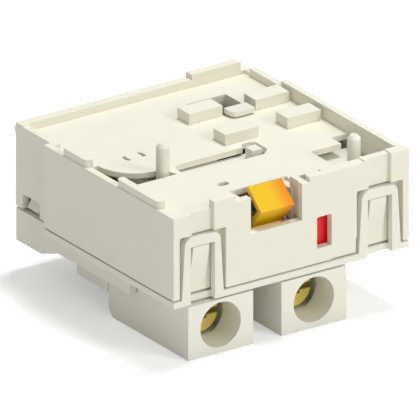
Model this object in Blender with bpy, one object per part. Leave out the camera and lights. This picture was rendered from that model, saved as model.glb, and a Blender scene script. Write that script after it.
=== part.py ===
"""Auxiliary contact block, 45 mm wide, that clips on to a motor starter.

Metres, +Z up. The mating face looks up and the clips, the lever and the terminals face -Y.
The pieces are drawn from the front left bottom corner of the housing. One empty carries them
all, so that the world origin lies under the middle of the whole block.
"""
import math

import bmesh
import bpy
from mathutils import Matrix, Vector

# Housing: outline, walls and seam
BODY_WIDTH = 0.0450
BODY_DEPTH = 0.0461
LEFT_WALL_STOP = 0.0097
SIDE_STEP = 0.00124
WALL = 0.0013
FRONT_WALL = 0.00135
BASE_THICKNESS = 0.0011
SEAM_GAP = 0.0003
FLOOR_TOP = 0.0144
FLOOR_THICKNESS = 0.0010

# Rim round the mating face
RIM_TOP = 0.0155
RIM_THICKNESS = 0.0012
FRONT_RIM = 0.0020
REAR_RIM = 0.0017
REAR_RIM_TOP = 0.0157
RIGHT_RIM_TOP = 0.0167
RIGHT_RIM_LENGTH = 0.0342
RIGHT_RIM_GAP = 0.0008
RIGHT_CORNER_LENGTH = 0.0031
RIGHT_CORNER_TOP = 0.0150
RIGHT_POST_TOP = 0.0169
REAR_TAB_TOP = 0.0165
REAR_TAB_LENGTH = 0.0094
REAR_TAB_FROM_RIGHT = 0.0019
LEFT_TAB_TOP = 0.0168
LEFT_TAB_INSET = 0.00015
LEFT_TAB_WIDTH = 0.0015
LEFT_TAB_CORNER = 0.0008
LEFT_TAB_SPANS = ((0.0046, 0.0163), (0.0248, 0.0316))
REAR_BEAD_RADIUS = 0.0009
REAR_BEAD_HEIGHT = 0.0142

# Front panel with its windows
PANEL_LEFT = 0.0077
PANEL_FROM_RIGHT = 0.0080
PANEL_TOP = 0.0167
PANEL_RIGHT_TOP = 0.0165
PANEL_LOW_TOP = 0.0157
PANEL_LOW_LEFT = 0.0120
PANEL_LOW_WIDTH = 0.0140
LEVER_WINDOW_LEFT = 0.0148
LEVER_WINDOW_WIDTH = 0.00975
LEVER_WINDOW_SILL = 0.0095
LEVER_CHEEK = 0.00135
LEVER_CHEEK_DEPTH = 0.0038
LEVER_CHEEK_STEP = 0.0002
LEVER_NOTCH_DEPTH = 0.00655
SIDE_NOTCH_DEPTH = 0.00555
SIDE_NOTCH_WIDTH = 0.0031
FLAG_WINDOW_LEFT = 0.0274
FLAG_WINDOW_WIDTH = 0.0028
FLAG_WINDOW_SILL = 0.0039
FLAG_WINDOW_HEIGHT = 0.0053
PANEL_STEP_DEPTH = 0.00025

# Snap loops of the base cover, with their pockets, channels and noses
LOOP_CENTRE = 0.0056
LOOP_HALF_OPENING = 0.0023
LOOP_HALF_TOP = 0.00345
LOOP_HALF_FOOT = 0.00406
LOOP_TOP = 0.0115
LOOP_OPENING_TOP = 0.00985
LOOP_THICKNESS = 0.0012
LOOP_CORNER = 0.0014
LOOP_CLEARANCE = 0.00035
CHANNEL_HALF_WIDTH = 0.00215
CHANNEL_DEPTH = 0.00075
NOSE_PROUD = 0.0010
NOSE_FOOT = 0.0032
NOSE_LAND = 0.0007

# Openings and bosses of the mating face
BOSS_SIZE = (0.0064, 0.00336, 0.0018)
BOSS_LEFT = 0.0249
BOSS_FROM_RIGHT = 0.0082
BOSS_FRONT = 0.0221
BOSS_REAR_LEFT = 0.0322
BOSS_REAR_RIGHT = 0.0310
SLOT_FRONT = 0.0159
SLOT_WIDTH = 0.0041
SLOT_LEFT = 0.0132
SLOT_LENGTH = 0.0161
SLOT_HEAD_LENGTH = 0.0025
SLOT_HEAD_EXTRA = 0.0012
POCKET_FROM_RIGHT = 0.0084
POCKET_WIDTH = 0.0074
POCKET_FROM_REAR = 0.006915
POCKET_DEPTH = 0.007837
POCKET_NOTCH = (0.0023, 0.0044)
POCKET_WALL = 0.0008
POCKET_WALL_DROP = 0.0044
PIN_HOLE_SIZE = (0.0020, 0.0013)
PIN_HOLE_PLACE = (0.0160, 0.00965)
CRESCENT_INNER_RADIUS = 0.0070
CRESCENT_FRONT_GAP = 0.0011
TRIP_OPENING_FROM_RIGHT = 0.0103
TRIP_OPENING_FRONT = 0.0030
TRIP_OPENING_REAR = 0.0125
TRIP_NOTCH_FROM_RIGHT = 0.0044
TRIP_NOTCH_REAR = 0.0153

# Crank with the left coupling pin
PIVOT_X = 0.0106
PIVOT_Y = 0.0267
PIVOT_POST_RADIUS = 0.0010
PIVOT_HOLE_INNER = 0.00125
PIVOT_HOLE_OUTER = 0.0019
PIVOT_HOLE_HALF_ANGLE = 35.0
CRANK_SWING = 45.0
CRANK_RADIUS = 0.0081
CRANK_THICKNESS = 0.0018
CRANK_BOTTOM = 0.0109
CRANK_ARM_HALF_WIDTH = 0.0022
CRANK_HUB_RADIUS = 0.0030
CRANK_POST_RADIUS = 0.0026
RUNNING_GAP = 0.0002
DRIVE_LUG_RADIUS = 0.0009
PIN_RADIUS = 0.00108
PIN_TOP = 0.0195
PIN_CHAMFER = 0.00045
PIN_CHAMFER_HEIGHT = 0.0006

# Contact slide
SLIDE_TRAVEL = 0.0040
SLIDE_FRONT = 0.0164
SLIDE_WIDTH = 0.0032
SLIDE_BOTTOM = 0.0086
SLIDE_THICKNESS = 0.0018
SLIDE_LEFT = 0.0078
SLIDE_FROM_RIGHT = 0.0110
YOKE_WIDTH = 0.0050
YOKE_REACH = 0.0037
YOKE_CLEARANCE = 0.00035
RAIL_LEFT = 0.0133
RAIL_HEIGHT = 0.0026
RAIL_REAR = 0.0008
FINGER_LEFT = 0.0266
FINGER_SIZE = (0.0019, 0.0020)
FINGER_TOP = 0.0149
GUIDE_RIB = 0.0008
GUIDE_GAP = 0.0004
GUIDE_RIB_LEFT = 0.0145
FRONT_RIB_LENGTH = 0.0075
REAR_RIB_LENGTH = 0.0080
RIB_BOTTOM = 0.0093
CARRIER_LEFT = 0.0209
CARRIER_LENGTH = 0.0068
CARRIER_DEPTH = 0.0050
CARRIER_BOTTOM = 0.0039
CARRIER_WALL = 0.0007
SPRING_ARM_FROM_RIGHT = 0.0142
SPRING_ARM_THICKNESS = 0.0012
SPRING_ARM_REACH = 0.0058
SLIDE_SPRING_LENGTH = 0.0075

# Indicator flag on its arm
FLAG_LEFT = 0.0272
FLAG_WIDTH = 0.0037
FLAG_THICKNESS = 0.0009
FLAG_BOTTOM = 0.0035
FLAG_HEIGHT = 0.0059
FLAG_CLEARANCE = 0.00035
FLAG_ARM_LEFT = 0.0262
FLAG_ARM_THICKNESS = 0.0015
FLAG_ARM_BOTTOM = 0.0040
FLAG_ARM_HEIGHT = 0.0022

# Contact bridge, fixed contacts and silver tips
BRIDGE_THICKNESS = 0.0008
BRIDGE_HEIGHT = 0.0025
BRIDGE_BOTTOM = 0.0049
BRIDGE_OVERHANG = 0.0015
TIP_RADIUS = 0.0012
TIP_THICKNESS = 0.0006
TIP_GAP = 0.0001
CONTACT_GAP = 0.0043
FIXED_THICKNESS = 0.0012
FIXED_FRONT_TIP = 0.0116
FIXED_REAR_TIP = 0.0248
FIXED_TAB_WIDTH = 0.0034
FIXED_TAB_TOP = 0.0076
STRIP_BOTTOM = 0.0025
STRIP_THICKNESS = 0.0010
STRIP_WIDTH = 0.0050

# Trip slide with the right coupling pin
TRIP_TRAVEL = 0.0050
TRIP_PIN_FROM_RIGHT = 0.0075
TRIP_PIN_Y = 0.0045
TRIP_FROM_RIGHT = 0.0090
TRIP_PLATE_FRONT_GAP = 0.0004
TRIP_LENGTH = 0.0116
TRIP_BOTTOM = 0.0106
TRIP_THICKNESS = 0.0016
TRIP_SPRING_LENGTH = 0.0094
TRIP_RAIL_WIDTH = 0.0010
TRIP_RAIL_OFFSETS = (0.0012, 0.0054)

# Lever, its pin and the window it stands in
LEVER_LEFT = 0.0170
LEVER_WIDTH = 0.0059
LEVER_FLARE = 0.0005
LEVER_THICKNESS = 0.00085
LEVER_TOP = (0.0041, 0.0156)
LEVER_RIDGE = (0.0004, 0.0124)
LEVER_FOOT = (0.0030, 0.0091)
LEVER_AXIS = (0.0042, 0.0080)
LEVER_HUB_RADIUS = 0.00125
LEVER_PIN_RADIUS = 0.0006
EAR_THICKNESS = 0.0012
EAR_HALF_DEPTH = 0.00115
EAR_TOP = 0.0099

# Terminal boxes, screws and clamps
BOX_LEFTS = (0.0028, 0.0206)
BOX_WIDTH = 0.0124
BOX_DEPTH = 0.0223
BOX_DROP = 0.00946
BOX_CHAMFER = 0.0010
BOX_HOLE_RADIUS = 0.00385
BOX_HOLE_HEIGHT = 0.0048
BOX_HOLE_DEPTH = 0.0052
BOX_WALL = 0.0018
BOX_FLOOR = 0.00126
NECK_INSET = 0.0014
NECK_FRONT = 0.0045
NECK_REAR = 0.0170
FLANGE_LIP = 0.0008
FLANGE_THICKNESS = 0.0008
WIRE_ENTRY_MARGIN = 0.0010
SCREW_HEAD_RADIUS = 0.0034
SCREW_HEAD_FRONT = 0.0055
SCREW_HEAD_THICKNESS = 0.0023
SCREW_RADIUS = 0.00175
SCREW_LENGTH = 0.0111
SCREW_SLOT_WIDTH = 0.0011
SCREW_SLOT_DEPTH = 0.0010
SCREW_SQUARE = 0.0021
THREAD_GAP = 0.0002
CLAMP_THICKNESS = 0.0012
CLAMP_TRAVEL = 0.0035
BAR_FRONT = 0.0140
BAR_WIDTH = 0.0080

# Base cover below the plate
FOOT_DROP = 0.00455
FOOT_LENGTH = 0.0069
FOOT_RAMP = 0.0049
RAIL_DROP = 0.0028
RAIL_FRONT = 0.0142
RAIL_WIDTH = 0.00126
SHELL = 0.0012
SKID_DROP = 0.0056
SKID_LENGTH = 0.0087
SKID_WIDTH = 0.0027
LATCH_WINDOW_LENGTH = 0.0047
LATCH_WINDOW_FROM_REAR = 0.0019
LATCH_WINDOW_TOP = 0.0040
LATCH_THICKNESS = 0.0010
LATCH_HEIGHT = 0.0050
POST_SIZE = 0.0012

# Mounting hook in the square pocket
HOOK_FROM_POCKET_RIGHT = 0.0048
HOOK_WIDTH = 0.0042
HOOK_OVERHANG = 0.00135
HOOK_REACH = 0.0026
HOOK_HEAD = 0.0008
HOOK_STEM = 0.0009
HOOK_FOOT_LENGTH = 0.0038
HOOK_CORNER = 0.0010

# Springs
SPRING_RADIUS = 0.0013
SPRING_WIRE = 0.00022
SPRING_TURNS = 6
TORSION_RADIUS = 0.00105
TORSION_WIRE = 0.00014
TORSION_TURNS = 2

# How far a cutter runs past what it cuts, and how deep a joined piece is sunk
PAST = 0.0010
SUNK = 0.0004
TALL = 0.0200
ROUND_SIDES = 32

# Heights and places that follow from the sizes above
LEFT_WALL_DEPTH = BODY_DEPTH - LEFT_WALL_STOP
BOSS_RIGHT = BODY_WIDTH - BOSS_FROM_RIGHT
POCKET_RIGHT = BODY_WIDTH - POCKET_FROM_RIGHT
POCKET_LEFT = POCKET_RIGHT - POCKET_WIDTH
POCKET_REAR = BODY_DEPTH - POCKET_FROM_REAR
POCKET_FRONT = POCKET_REAR - POCKET_DEPTH
HOOK_LEFT = POCKET_RIGHT - HOOK_FROM_POCKET_RIGHT
HOOK_FRONT = POCKET_FRONT - HOOK_OVERHANG
SLIDE_RIGHT = BODY_WIDTH - SLIDE_FROM_RIGHT
SPRING_ARM_LEFT = BODY_WIDTH - SPRING_ARM_FROM_RIGHT
TRIP_LEFT = BODY_WIDTH - TRIP_FROM_RIGHT
TRIP_PIN_X = BODY_WIDTH - TRIP_PIN_FROM_RIGHT
WALL_BOTTOM = BASE_THICKNESS + SEAM_GAP
FLOOR_UNDER = FLOOR_TOP - FLOOR_THICKNESS
PANEL_RIGHT = BODY_WIDTH - PANEL_FROM_RIGHT
RIGHT_LOOP_CENTRE = BODY_WIDTH - LOOP_CENTRE
LOOP_CENTRES = (LOOP_CENTRE, RIGHT_LOOP_CENTRE)
LOOP_POCKET_HALF = LOOP_HALF_FOOT + LOOP_CLEARANCE
LOOP_POCKET_TOP = LOOP_TOP + LOOP_CLEARANCE
LOOP_POCKET_DEPTH = LOOP_THICKNESS + SEAM_GAP
CRANK_TOP = CRANK_BOTTOM + CRANK_THICKNESS
CRANK_PIN_Y = PIVOT_Y - CRANK_RADIUS
DRIVE_LUG_Y = PIVOT_Y - SLIDE_TRAVEL / math.sin(math.radians(CRANK_SWING))
SLIDE_REAR = SLIDE_FRONT + SLIDE_WIDTH
SLIDE_TOP = SLIDE_BOTTOM + SLIDE_THICKNESS
SLIDE_MIDDLE = SLIDE_FRONT + SLIDE_WIDTH / 2
CARRIER_RIGHT = CARRIER_LEFT + CARRIER_LENGTH
STRIP_RIGHT = CARRIER_RIGHT + STRIP_THICKNESS
BRIDGE_LEFT = CARRIER_LEFT + CARRIER_WALL + SEAM_GAP
BRIDGE_MIDDLE = BRIDGE_BOTTOM + BRIDGE_HEIGHT / 2
FIXED_TAB_RIGHT = BRIDGE_LEFT - CONTACT_GAP - 2 * (TIP_THICKNESS + TIP_GAP)
FIXED_TAB_LEFT = FIXED_TAB_RIGHT - FIXED_THICKNESS
BAR_REAR = BAR_FRONT + FIXED_THICKNESS
SPRING_AXIS_Y = SLIDE_REAR + SPRING_ARM_REACH - 2 * SPRING_RADIUS + SPRING_WIRE * 2
SPRING_AXIS_Z = SLIDE_BOTTOM + SPRING_RADIUS + SPRING_WIRE * 4
TRIP_RIGHT = BODY_WIDTH - WALL - GUIDE_GAP
TRIP_FRONT = LOOP_POCKET_DEPTH + WALL + TRIP_PLATE_FRONT_GAP + SEAM_GAP / 2
TRIP_REAR = TRIP_FRONT + TRIP_LENGTH
TRIP_TOP = TRIP_BOTTOM + TRIP_THICKNESS
TRIP_SPRING_X = (TRIP_LEFT + TRIP_RIGHT) / 2
TRIP_STOP = TRIP_REAR + TRIP_SPRING_LENGTH + 2 * SEAM_GAP
CLAMP_FRONT = SCREW_HEAD_FRONT + SCREW_HEAD_THICKNESS + SEAM_GAP
ENTRY_REAR = CLAMP_FRONT + CLAMP_TRAVEL
CHAMBER_REAR = BOX_DEPTH - BOX_WALL
BOX_HOLE_Z = BOX_HOLE_HEIGHT - BOX_DROP
CHAMBER_TOP = -SEAM_GAP - BOX_FLOOR
CHAMBER_BOTTOM = BOX_FLOOR - BOX_DROP
FOOT_RAMP_FRONT = BODY_DEPTH - FOOT_LENGTH - FOOT_RAMP

# The origin lies under the middle of the block: the lowest faces are those of the boxes
BLOCK_CENTRE_X = BODY_WIDTH / 2
BLOCK_CENTRE_Y = (BODY_DEPTH + REAR_BEAD_RADIUS) / 2

IVORY = (0.86, 0.85, 0.77, 1.0)
PALE = (0.88, 0.87, 0.83, 1.0)
YELLOW = (0.98, 0.60, 0.01, 1.0)
RED = (0.72, 0.01, 0.02, 1.0)
BRASS = (0.80, 0.66, 0.16, 1.0)
STEEL = (0.62, 0.62, 0.63, 1.0)
COPPER = (0.75, 0.42, 0.20, 1.0)
SILVER = (0.85, 0.85, 0.86, 1.0)


def clear_scene():
    """Remove whatever the file holds before the block is built."""
    for old in list(bpy.data.objects):
        bpy.data.objects.remove(old, do_unlink=True)


def block_origin():
    """The empty that carries every piece and puts the block's middle over the origin."""
    carrier = bpy.data.objects.new("block_origin", None)
    carrier.location = (-BLOCK_CENTRE_X, -BLOCK_CENTRE_Y, BOX_DROP)
    bpy.context.scene.collection.objects.link(carrier)
    return carrier


def plastic(name, colour, roughness=0.45):
    """A moulded plastic."""
    return surface(name, colour, roughness, 0.0)


def metal(name, colour, roughness=0.3):
    """A bare or plated metal."""
    return surface(name, colour, roughness, 1.0)


def surface(name, colour, roughness, metallic):
    """One Principled material with the piece's own colour and roughness."""
    material = bpy.data.materials.new(name)
    material.use_nodes = True
    shader = material.node_tree.nodes["Principled BSDF"]
    shader.inputs["Base Color"].default_value = colour
    shader.inputs["Roughness"].default_value = roughness
    shader.inputs["Metallic"].default_value = metallic
    material.diffuse_color = colour
    return material


def link_mesh(name, mesh_data):
    """Turn a bmesh into an object under the block's origin."""
    bmesh.ops.recalc_face_normals(mesh_data, faces=mesh_data.faces)
    mesh = bpy.data.meshes.new(name)
    mesh_data.to_mesh(mesh)
    mesh_data.free()
    piece = bpy.data.objects.new(name, mesh)
    bpy.context.scene.collection.objects.link(piece)
    piece.parent = ORIGIN
    return piece


def turn_to(axis, a, b, along):
    """A point from its two places across the axis and its place along it."""
    if axis == "X":
        return (along, a, b)
    if axis == "Y":
        return (a, along, b)
    return (a, b, along)


def add_prism(mesh_data, outline, low, high, axis="Z"):
    """Add one closed outline, extruded along the axis from low to high."""
    lower = [mesh_data.verts.new(turn_to(axis, a, b, low)) for a, b in outline]
    upper = [mesh_data.verts.new(turn_to(axis, a, b, high)) for a, b in outline]
    count = len(outline)
    mesh_data.faces.new(list(reversed(lower)))
    mesh_data.faces.new(upper)
    for i in range(count):
        j = (i + 1) % count
        mesh_data.faces.new((lower[i], lower[j], upper[j], upper[i]))


def prism(name, outline, low, high, axis="Z"):
    """An object made of one extruded outline."""
    mesh_data = bmesh.new()
    add_prism(mesh_data, outline, low, high, axis)
    return link_mesh(name, mesh_data)


def rectangle(a, b):
    """The four corners of a rectangle from its two spans."""
    return [(a[0], b[0]), (a[1], b[0]), (a[1], b[1]), (a[0], b[1])]


def box(name, x, y, z):
    """A box from its three spans."""
    return prism(name, rectangle(x, y), z[0], z[1])


def boxes(name, spans):
    """Several boxes apart from each other, as one object."""
    mesh_data = bmesh.new()
    for x, y, z in spans:
        add_prism(mesh_data, rectangle(x, y), z[0], z[1])
    return link_mesh(name, mesh_data)


def arc(centre, radius, start, end, steps):
    """Points on an arc, angles in degrees."""
    points = []
    for i in range(steps + 1):
        angle = math.radians(start + (end - start) * i / steps)
        points.append((centre[0] + radius * math.cos(angle), centre[1] + radius * math.sin(angle)))
    return points


def circle(centre, radius, sides=ROUND_SIDES):
    """A full circle of points."""
    return arc(centre, radius, 0.0, 360.0, sides)[:-1]


def cylinder(name, centre, radius, low, high, axis="Z", sides=ROUND_SIDES):
    """A plain round bar along an axis."""
    return prism(name, circle(centre, radius, sides), low, high, axis)


def stadium(x, y, radius, steps=6):
    """A rectangle with four round corners."""
    points = []
    corners = (
        (x[1] - radius, y[0] + radius, -90.0),
        (x[1] - radius, y[1] - radius, 0.0),
        (x[0] + radius, y[1] - radius, 90.0),
        (x[0] + radius, y[0] + radius, 180.0),
    )
    for centre_x, centre_y, start in corners:
        points += arc((centre_x, centre_y), radius, start, start + 90.0, steps)
    return points


def turned(name, profile, centre, axis="Z", sides=ROUND_SIDES):
    """A solid turned from a profile of (radius, place along the axis)."""
    mesh_data = bmesh.new()
    rings = []
    for radius, along in profile:
        ring = [mesh_data.verts.new(turn_to(axis, a, b, along)) for a, b in circle(centre, radius, sides)]
        rings.append(ring)
    mesh_data.faces.new(rings[0])
    mesh_data.faces.new(rings[-1])
    for lower, upper in zip(rings, rings[1:]):
        for i in range(sides):
            j = (i + 1) % sides
            mesh_data.faces.new((lower[i], lower[j], upper[j], upper[i]))
    return link_mesh(name, mesh_data)


def tube(name, path, radius, sides=6):
    """Wire of round section along a path of points, with flat ends."""
    mesh_data = bmesh.new()
    points = [Vector(p) for p in path]
    side = Vector((0.0, 0.0, 1.0))
    rings = []
    for i, point in enumerate(points):
        ahead = points[min(i + 1, len(points) - 1)]
        behind = points[max(i - 1, 0)]
        direction = (ahead - behind).normalized()
        if i == 0 and abs(direction.dot(side)) > 0.9:
            side = Vector((1.0, 0.0, 0.0))
        side = (side - direction * side.dot(direction)).normalized()
        other = direction.cross(side)
        ring = []
        for k in range(sides):
            angle = 2 * math.pi * k / sides
            offset = side * math.cos(angle) + other * math.sin(angle)
            ring.append(mesh_data.verts.new(point + offset * radius))
        rings.append(ring)
    mesh_data.faces.new(rings[0])
    mesh_data.faces.new(rings[-1])
    for lower, upper in zip(rings, rings[1:]):
        for k in range(sides):
            n = (k + 1) % sides
            mesh_data.faces.new((lower[k], lower[n], upper[n], upper[k]))
    return link_mesh(name, mesh_data)


def coil_path(centre, radius, low, high, turns, axis, steps=12):
    """A helix whose two end turns lie flat, so that the spring seats square."""
    points = []
    total = turns * steps
    for i in range(total + 1):
        angle = 2 * math.pi * i / steps
        share = min(max((i - steps) / (total - 2 * steps), 0.0), 1.0)
        along = low + (high - low) * share
        wire_lift = 2.2 * SPRING_WIRE
        if i < steps:
            along += wire_lift * (i / steps - 1.0)
        if i > total - steps:
            along += wire_lift * ((i - total + steps) / steps)
        a = centre[0] + radius * math.cos(angle)
        b = centre[1] + radius * math.sin(angle)
        points.append(turn_to(axis, a, b, along))
    return points


def compression_spring(name, centre, low, high, axis, turns=SPRING_TURNS, radius=SPRING_RADIUS):
    """A spring between two seats, clear of both by the seam gap."""
    end = SEAM_GAP + SPRING_WIRE + 2.2 * SPRING_WIRE
    path = coil_path(centre, radius, low + end, high - end, turns, axis)
    spring = tube(name, path, SPRING_WIRE)
    spring.data.materials.append(metal(name, STEEL))
    smooth(spring)
    return spring


def smooth(piece, angle=35.0):
    """Shade round faces smooth and keep the edges sharp."""
    piece.data.shade_smooth()
    piece.data.set_sharp_from_angle(angle=math.radians(angle))


def as_tool(tool):
    """Keep a cutter or a joined shape out of the finished block."""
    tool.hide_render = True
    tool.display_type = "WIRE"


def boolean(piece, tool, operation):
    """Join or cut with the exact solver."""
    as_tool(tool)
    step = piece.modifiers.new(tool.name, "BOOLEAN")
    step.operation = operation
    step.solver = "EXACT"
    step.object = tool


def cut(piece, *tools):
    """Cut every tool out of the piece."""
    for tool in tools:
        boolean(piece, tool, "DIFFERENCE")


def join(piece, *tools):
    """Join every tool to the piece."""
    for tool in tools:
        boolean(piece, tool, "UNION")


def origin_at(piece, point):
    """Put a moving piece's origin on its joint's axis without moving the piece."""
    piece.data.transform(Matrix.Translation(-Vector(point)))
    piece.location = point


def body_outline():
    """The plan of the block: its left wall stops short and the rear steps in."""
    return [
        (0.0, 0.0),
        (BODY_WIDTH, 0.0),
        (BODY_WIDTH, BODY_DEPTH),
        (SIDE_STEP, BODY_DEPTH),
        (SIDE_STEP, LEFT_WALL_DEPTH),
        (0.0, LEFT_WALL_DEPTH),
    ]


def inset_outline(left, front, right, rear):
    """The plan inside the walls, with the same step on the left."""
    return [
        (left, front),
        (BODY_WIDTH - right, front),
        (BODY_WIDTH - right, BODY_DEPTH - rear),
        (SIDE_STEP + left, BODY_DEPTH - rear),
        (SIDE_STEP + left, LEFT_WALL_DEPTH - left),
        (left, LEFT_WALL_DEPTH - left),
    ]


def raise_rims(body):
    """Raise the right wall, the front panel and the rear tab above the rim."""
    low = FLOOR_UNDER
    front = (0.0, FRONT_RIM + SUNK)
    rear = (BODY_DEPTH - REAR_RIM - SUNK, BODY_DEPTH)
    right = (BODY_WIDTH - 2 * WALL, BODY_WIDTH)
    low_rim = (RIGHT_RIM_LENGTH + RIGHT_RIM_GAP, BODY_DEPTH - RIGHT_CORNER_LENGTH)
    tab_right = BODY_WIDTH - REAR_TAB_FROM_RIGHT
    join(
        body,
        box("raise_right_rim", right, (0.0, RIGHT_RIM_LENGTH), (low, RIGHT_RIM_TOP)),
        box("raise_right_low_rim", right, low_rim, (low, REAR_RIM_TOP)),
        box("raise_rear_rim", (SIDE_STEP, BODY_WIDTH), rear, (low, REAR_RIM_TOP)),
        box("raise_rear_tab", (tab_right - REAR_TAB_LENGTH, tab_right), rear, (low, REAR_TAB_TOP)),
        box("raise_panel", (PANEL_LEFT, PANEL_LOW_LEFT + SUNK), front, (low, PANEL_TOP)),
        box("raise_panel_right", (PANEL_LOW_LEFT, PANEL_RIGHT), front, (low, PANEL_RIGHT_TOP)),
        box("raise_right_channel", (PANEL_RIGHT - SUNK, BODY_WIDTH), front, (low, RIGHT_RIM_TOP)),
        box("raise_right_post", (RIGHT_LOOP_CENTRE + CHANNEL_HALF_WIDTH, BODY_WIDTH), front,
            (low, RIGHT_POST_TOP)),
    )


def hollow_out(body):
    """Cut the recess over the mating face and the space for the works under it."""
    recess = inset_outline(RIM_THICKNESS, FRONT_RIM, RIM_THICKNESS, REAR_RIM)
    cut(body, prism("cut_mating_recess", recess, FLOOR_TOP, TALL))
    notch_right = LEVER_WINDOW_LEFT + LEVER_WINDOW_WIDTH + LEVER_CHEEK + SIDE_NOTCH_WIDTH
    cut(body, box("cut_thin_panel", (PANEL_LEFT, notch_right), (WALL, FRONT_RIM + SUNK), (FLOOR_TOP, TALL)))
    corner = (BODY_WIDTH - REAR_TAB_FROM_RIGHT, BODY_WIDTH + PAST)
    rear = (BODY_DEPTH - RIGHT_CORNER_LENGTH, BODY_DEPTH + PAST)
    cut(body, box("cut_right_corner", corner, rear, (RIGHT_CORNER_TOP, TALL)))
    pocket_wall = LOOP_POCKET_DEPTH + WALL
    room = inset_outline(WALL, pocket_wall, WALL, WALL)
    cut(body, prism("cut_works_room", room, -PAST, FLOOR_UNDER))
    bay = (LOOP_CENTRE + LOOP_POCKET_HALF + WALL, RIGHT_LOOP_CENTRE - LOOP_POCKET_HALF - WALL)
    cut(body, box("cut_front_bay", bay, (FRONT_WALL, pocket_wall + PAST), (-PAST, FLOOR_UNDER)))


def add_left_tabs(body):
    """The two tabs on the left rim, with round corners on their outer side."""
    for number, (front, rear) in enumerate(LEFT_TAB_SPANS):
        r = LEFT_TAB_CORNER
        outline = [(LEFT_TAB_WIDTH, front), (LEFT_TAB_WIDTH, rear)]
        outline += arc((LEFT_TAB_INSET + r, rear - r), r, 90.0, 180.0, 5)
        outline += arc((LEFT_TAB_INSET + r, front + r), r, 180.0, 270.0, 5)
        join(body, prism(f"left_tab_{number}", outline, FLOOR_TOP - SUNK, LEFT_TAB_TOP))


def shape_front(body):
    """Cut the channels, the loop pockets and the two windows, and lower the panel's edge."""
    for number, centre in enumerate(LOOP_CENTRES):
        channel = (centre - CHANNEL_HALF_WIDTH, centre + CHANNEL_HALF_WIDTH)
        pocket = (centre - LOOP_POCKET_HALF, centre + LOOP_POCKET_HALF)
        cut(
            body,
            box(f"cut_channel_{number}", channel, (-PAST, CHANNEL_DEPTH), (FLOOR_UNDER - 3 * PAST, TALL)),
            box(f"cut_loop_pocket_{number}", pocket, (-PAST, LOOP_POCKET_DEPTH), (0.0, LOOP_POCKET_TOP)),
        )
    low_edge = (PANEL_LOW_LEFT, PANEL_LOW_LEFT + PANEL_LOW_WIDTH)
    window_right = LEVER_WINDOW_LEFT + LEVER_WINDOW_WIDTH
    window = (LEVER_WINDOW_LEFT, window_right)
    flag = (FLAG_WINDOW_LEFT, FLAG_WINDOW_LEFT + FLAG_WINDOW_WIDTH)
    step = (flag[1], RIGHT_LOOP_CENTRE - LOOP_POCKET_HALF + SUNK)
    cut(
        body,
        box("cut_panel_edge", low_edge, (-PAST, WALL + SUNK), (PANEL_LOW_TOP, TALL)),
        box("cut_lever_window", window, (-PAST, FRONT_WALL + SUNK), (LEVER_WINDOW_SILL, TALL)),
        box("cut_flag_window", flag, (-PAST, FRONT_WALL + SUNK),
            (FLAG_WINDOW_SILL, FLAG_WINDOW_SILL + FLAG_WINDOW_HEIGHT)),
        box("cut_panel_step", step, (-PAST, PANEL_STEP_DEPTH), (0.0, FLAG_WINDOW_SILL)),
    )
    cheek_right = window_right + LEVER_CHEEK
    notch = [
        (LEVER_WINDOW_LEFT + SUNK / 2, FRONT_WALL),
        (cheek_right + SIDE_NOTCH_WIDTH, FRONT_WALL),
        (cheek_right + SIDE_NOTCH_WIDTH, SIDE_NOTCH_DEPTH),
        (cheek_right, SIDE_NOTCH_DEPTH),
        (cheek_right, LEVER_NOTCH_DEPTH),
        (LEVER_WINDOW_LEFT + SUNK / 2, LEVER_NOTCH_DEPTH),
    ]
    cut(body, prism("cut_lever_notch", notch, FLOOR_UNDER - PAST, FLOOR_TOP + PAST / 2))


def add_noses(body):
    """The snap noses that the loops catch under: a land on top and a long lead-in ramp."""
    back = LOOP_POCKET_DEPTH
    front = back - NOSE_PROUD
    top = LOOP_OPENING_TOP - LOOP_CLEARANCE
    profile = [
        (back + SUNK, NOSE_FOOT),
        (back, NOSE_FOOT),
        (front, top - NOSE_LAND),
        (front, top),
        (back + SUNK, top),
    ]
    half = LOOP_HALF_OPENING - 2 * LOOP_CLEARANCE
    for number, centre in enumerate(LOOP_CENTRES):
        join(body, prism(f"nose_{number}", profile, centre - half, centre + half, "X"))


def add_lever_bearings(body):
    """The cheek right of the lever and the two ears that hold its pin."""
    window_right = LEVER_WINDOW_LEFT + LEVER_WINDOW_WIDTH
    cheek = (window_right, window_right + LEVER_CHEEK)
    ear_y = (LEVER_AXIS[0] - EAR_HALF_DEPTH, LEVER_AXIS[0] + EAR_HALF_DEPTH)
    ear_bottom = LEVER_AXIS[1] - EAR_HALF_DEPTH
    left_ear = (LEVER_WINDOW_LEFT, LEVER_WINDOW_LEFT + EAR_THICKNESS)
    join(
        body,
        box("cheek", (cheek[0] + LEVER_CHEEK_STEP, cheek[1]), (FRONT_WALL - SUNK, LEVER_CHEEK_DEPTH),
            (EAR_TOP - SUNK, PANEL_LOW_TOP)),
        box("ear_right", cheek, ear_y, (ear_bottom, FLOOR_UNDER + SUNK)),
        box("ear_left", (left_ear[0] - SUNK, left_ear[1]), (ear_y[0], LEVER_NOTCH_DEPTH + GUIDE_RIB),
            (ear_bottom, FLOOR_UNDER + SUNK)),
        box("ear_web", (cheek[0], cheek[1]), (ear_y[1] - SUNK, LEVER_NOTCH_DEPTH + GUIDE_RIB),
            (EAR_TOP, FLOOR_UNDER + SUNK)),
    )
    cut(body, cylinder("cut_lever_pin_holes", LEVER_AXIS, LEVER_PIN_RADIUS + RUNNING_GAP / 2,
                       left_ear[0] - PAST, cheek[1] + PAST, "X", 20))


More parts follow.
